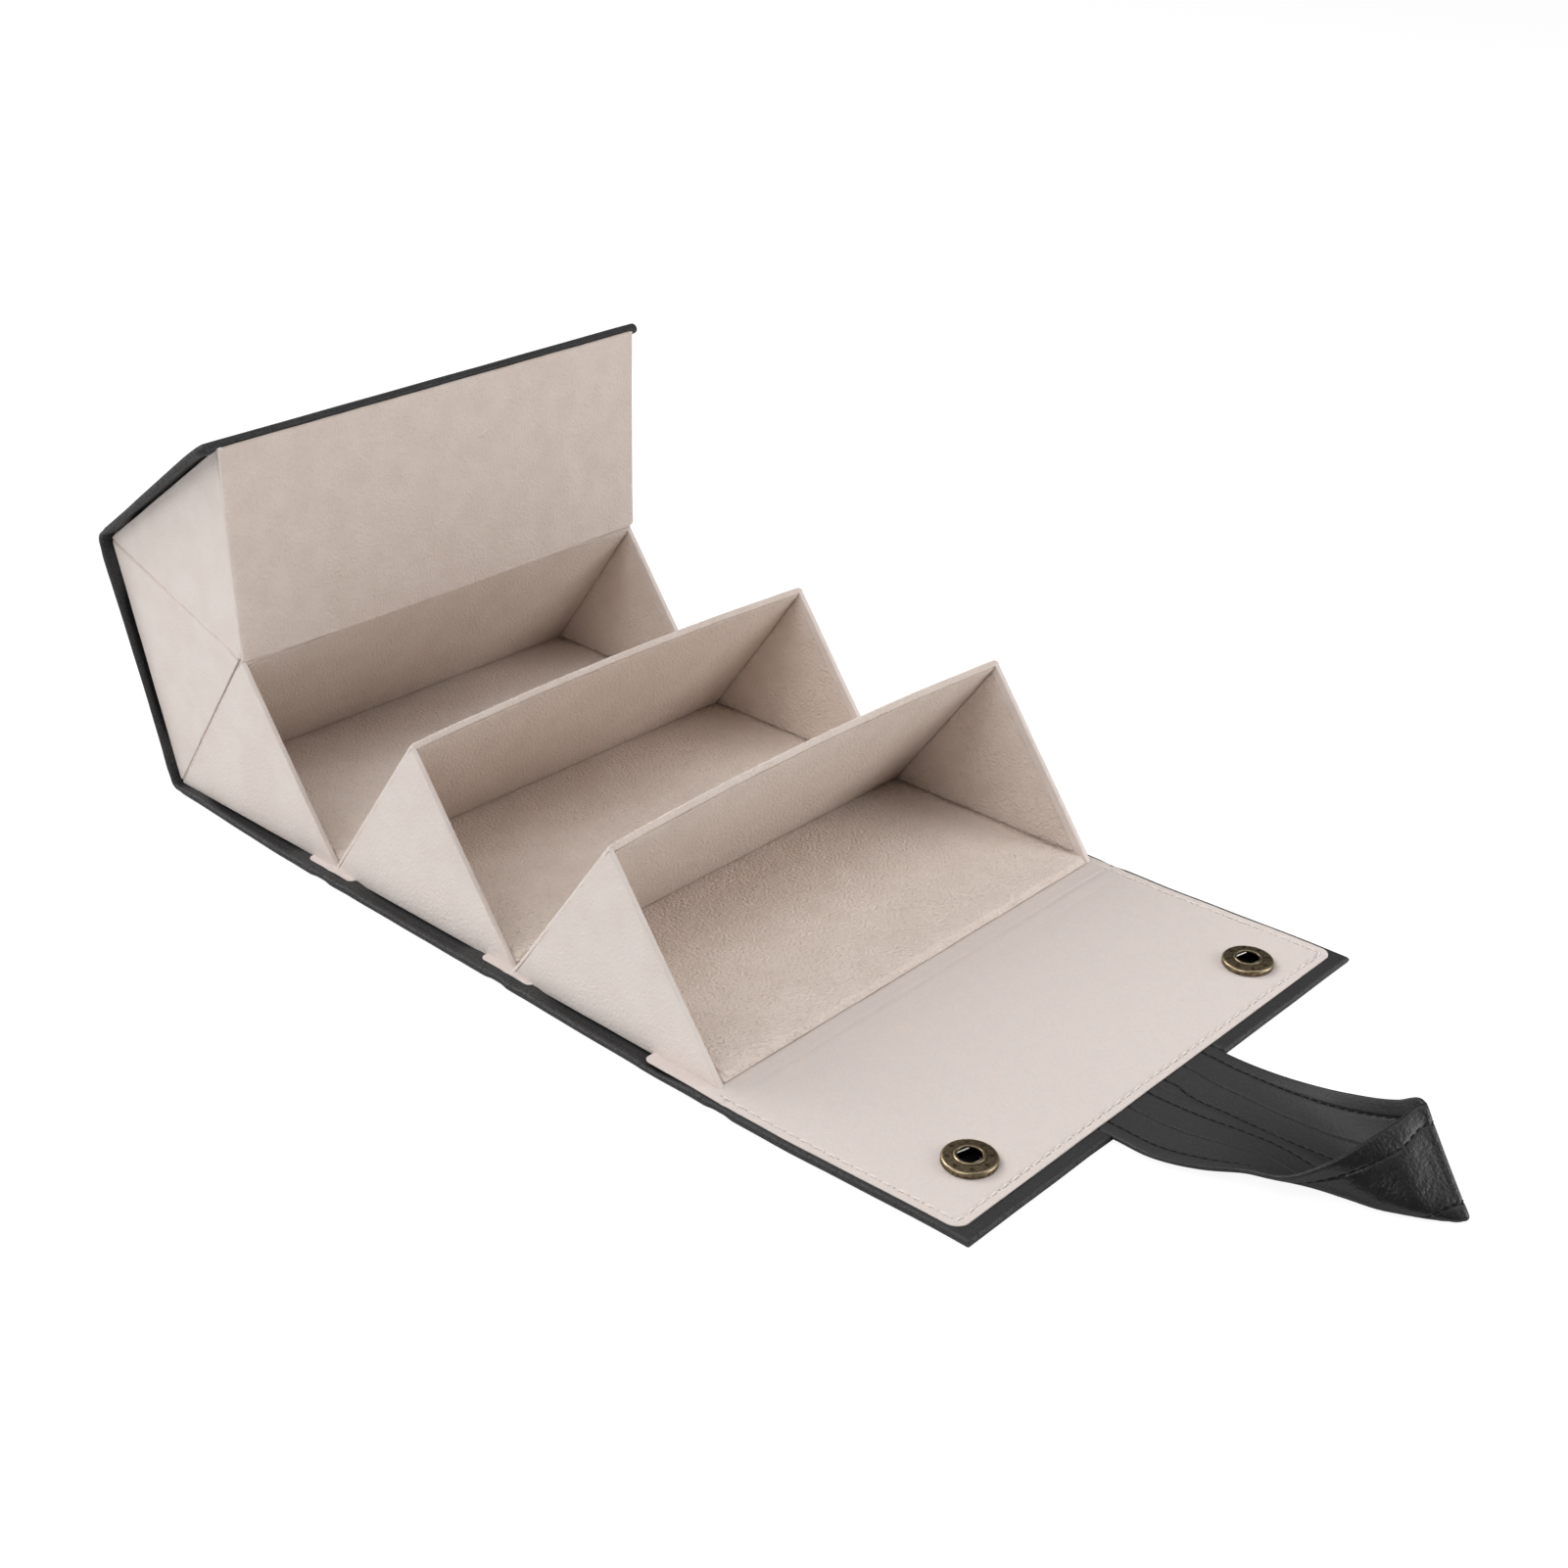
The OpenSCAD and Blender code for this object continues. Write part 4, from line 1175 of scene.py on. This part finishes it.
def strap():
    """Looped carry strap: a folded and stitched band of leather with rounded edges."""
    r = STRAP_T / 2
    seam_at = STRAP_STITCH_IN / STRAP_W
    fine = np.array([-0.7, -0.45, -0.25, 0, 0.25, 0.45, 0.7]) / STRAP_W
    across = np.unique(np.concatenate([np.linspace(r / STRAP_W, 1 - r / STRAP_W, 25), seam_at + fine,
                                       0.5 + fine, 1 - seam_at + fine]))
    sheet = strap_sheet(STRAP_PLACES, across)
    over, normal = strap_frames(sheet)
    from_edge, from_middle = np.minimum(across, 1 - across) * STRAP_W, (across - 0.5) * STRAP_W
    seams = 0.3 * hump(from_edge - STRAP_STITCH_IN, 0.35)
    pillow = 0.1 * np.sin(math.pi * np.clip(from_edge / STRAP_STITCH_IN, 0, 1))
    slit = 0.4 * hump(from_middle, 0.25)
    swell = 0.08 * np.clip(1 - np.abs(from_middle) / 3, 0, 1)
    inner = (r + pillow - seams - slit + swell)[None, :, None]
    outer = (r + pillow - seams)[None, :, None]
    swing = np.linspace(-math.pi / 2, math.pi / 2, 9)[1:-1]

    def edge(k, direction):
        c = direction * np.cos(swing)[None, :, None] * r
        s = np.sin(swing)[None, :, None] * r
        return sheet[:, [k]] + over[:, [k]] * c + normal[:, [k]] * s

    top = sheet + normal * inner
    under = sheet - normal * outer
    grid = np.concatenate([top, edge(-1, 1)[:, ::-1], under[:, ::-1], edge(0, -1)], axis=1)
    grid[..., 2] = np.maximum(grid[..., 2], 0.03)
    rim, face = np.zeros(len(swing)), np.zeros(len(across))
    # Painted shade: the grooves of the stitch lines and the middle slit are marked for painting near black.
    stitched = hump(from_edge - STRAP_STITCH_IN, 0.6, 4)
    groove_painted_shade = np.concatenate([stitched + hump(from_middle, 0.45, 4), rim, stitched[::-1], rim])
    outer_round = np.concatenate([face, rim + 0.5, face + 1, rim + 0.5])

    def painted(values):
        return np.append(np.tile(values, len(grid)), [0, 0])

    made = piece("looped_strap", [loops(grid)], STRAP_LEATHER, slot="strap_leather",
                 replaces=["strap_tails", "carry_strap"], seam=painted(groove_painted_shade),
                 outer=painted(outer_round))
    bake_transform(made)
    rows = []
    for share in (seam_at, 1 - seam_at):
        k = int(np.argmin(np.abs(across - share)))
        for face in (1, -1):
            path = sheet[:, k] + face * (r - 0.22) * normal[:, k]
            rows += stitch_row(path, face * normal[:, k], pitch=2.7, length=2.2, radius=0.15, angle=0.05)
    seam = piece("strap_seam", rows, BLACK_THREAD, slot="strap_leather")
    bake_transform(seam)


# CAD nodes


def dress_cad_nodes():
    """Materials of the CAD nodes that stay in sight or inside."""
    finishes = {"snap_caps": CAP_BRASS, "snap_studs": CAP_BRASS, "stud_posts": STEEL}
    for node, finish in finishes.items():
        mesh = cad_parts[node].data
        mesh.materials.clear()
        mesh.materials.append(finish)


# Camera, floor and lamps. The camera was fitted to corners of the photo: its place in metres, its
# angles, and its focal length and the picture's middle in pixels.

CAMERA_AT = Vector((0.54715, -0.43813, 0.34629))
AZIMUTH = math.radians(42.627)
ELEVATION = math.radians(25.932)
ROLL = math.radians(0.786)
PHOTO = 1601
FOCAL_PIXELS = 2274.9
CENTRE_PIXELS = (-22.1, -59.1)
SENSOR = 36.0
LAMPS_AIM = Vector((0.1, 0, 0.05))


def camera():
    """Camera of the photograph: it looks along the azimuth and down by the elevation, rolled a little."""
    data = bpy.data.cameras.new("camera")
    data.sensor_width = SENSOR
    data.lens = FOCAL_PIXELS * SENSOR / PHOTO
    data.shift_x = -CENTRE_PIXELS[0] / PHOTO
    data.shift_y = CENTRE_PIXELS[1] / PHOTO
    data.clip_start, data.clip_end = 0.01, 50
    made = placed("camera", data)
    forward = Vector((-math.sin(AZIMUTH) * math.cos(ELEVATION), math.cos(AZIMUTH) * math.cos(ELEVATION),
                      -math.sin(ELEVATION)))
    level = Vector((math.cos(AZIMUTH), math.sin(AZIMUTH), 0))
    upright = level.cross(forward)
    right = level * math.cos(ROLL) + upright * math.sin(ROLL)
    up = right.cross(forward)
    made.matrix_world = Matrix.Translation(CAMERA_AT) @ Matrix((right, up, -forward)).transposed().to_4x4()
    bpy.context.scene.camera = made


def white_for_camera(tree, shader, output, share, strength=1.0):
    """Puts plain white between a shader and its output, which camera rays see by a share."""
    path = tree.nodes.new("ShaderNodeLightPath")
    amount = tree.nodes.new("ShaderNodeMath")
    amount.operation = "MULTIPLY"
    amount.inputs[1].default_value = share
    white = tree.nodes.new("ShaderNodeEmission")
    white.inputs["Color"].default_value = (1, 1, 1, 1)
    white.inputs["Strength"].default_value = strength
    mix = tree.nodes.new("ShaderNodeMixShader")
    for source, target in ((path.outputs["Is Camera Ray"], amount.inputs[0]),
                           (amount.outputs[0], mix.inputs[0]),
                           (tree.nodes[shader].outputs[0], mix.inputs[1]),
                           (white.outputs[0], mix.inputs[2]),
                           (mix.outputs[0], tree.nodes[output].inputs["Surface"])):
        tree.links.new(source, target)


def floor():
    """Pale floor that keeps a soft shadow."""
    mesh = bpy.data.meshes.new("floor")
    reach, level = 4.0, -0.0003
    mesh.from_pydata([(-reach, -reach, level), (reach, -reach, level), (reach, reach, level),
                      (-reach, reach, level)], [], [(0, 1, 2, 3)])
    made = placed("floor", mesh)
    finish = Finish("white_floor", Base_Color=(0.9, 0.9, 0.9, 1), Roughness=0.9, Specular_IOR_Level=0.0)
    white_for_camera(finish.tree, "Principled BSDF", "Material Output", 0.8, 1.15)
    mesh.materials.append(finish.material)


def lamp(name, azimuth, elevation, power, away=2.0):
    """Soft square lamp at an azimuth and an elevation in degrees, some metres away from the object."""
    data = bpy.data.lights.new(name, "AREA")
    data.size = 0.6 * away
    data.energy = power
    made = placed(name, data)
    a, e = math.radians(azimuth), math.radians(elevation)
    out = Vector((math.cos(a) * math.cos(e), math.sin(a) * math.cos(e), math.sin(e)))
    made.location = LAMPS_AIM + away * out
    made.rotation_mode = "QUATERNION"
    made.rotation_quaternion = out.to_track_quat("Z", "Y")


def lights():
    """Soft studio light: lamps at the left, the front, high over the front and high at the back, a weak
    one low at the right, and a faint sky."""
    world = bpy.data.worlds.new("studio")
    bpy.context.scene.world = world
    world.use_nodes = True
    background = world.node_tree.nodes["Background"]
    background.inputs["Color"].default_value = (1, 1, 1, 1)
    background.inputs["Strength"].default_value = 0.1
    white_for_camera(world.node_tree, "Background", "World Output", 1.0)
    lamp("left_lamp", -170, 40, 27.2)
    lamp("front_lamp", -100, 40, 11.2)
    lamp("high_lamp", -75, 60, 10.2)
    lamp("back_lamp", 60, 60, 6.6)
    lamp("low_lamp", 30, 14, 3.2, away=0.9)


# Build

for tray_number in TRAYS:
    tray_walls(tray_number)
    tray_sheets(tray_number)
cover_leather()
cover_boards()
creases()
flap_leather()
flap_sheet()
flap_seam()
snap_socket(-1)
snap_socket(1)
snap_springs()
strap()
dress_cad_nodes()
camera()
floor()
lights()
bpy.context.scene.view_settings.view_transform = "Standard"
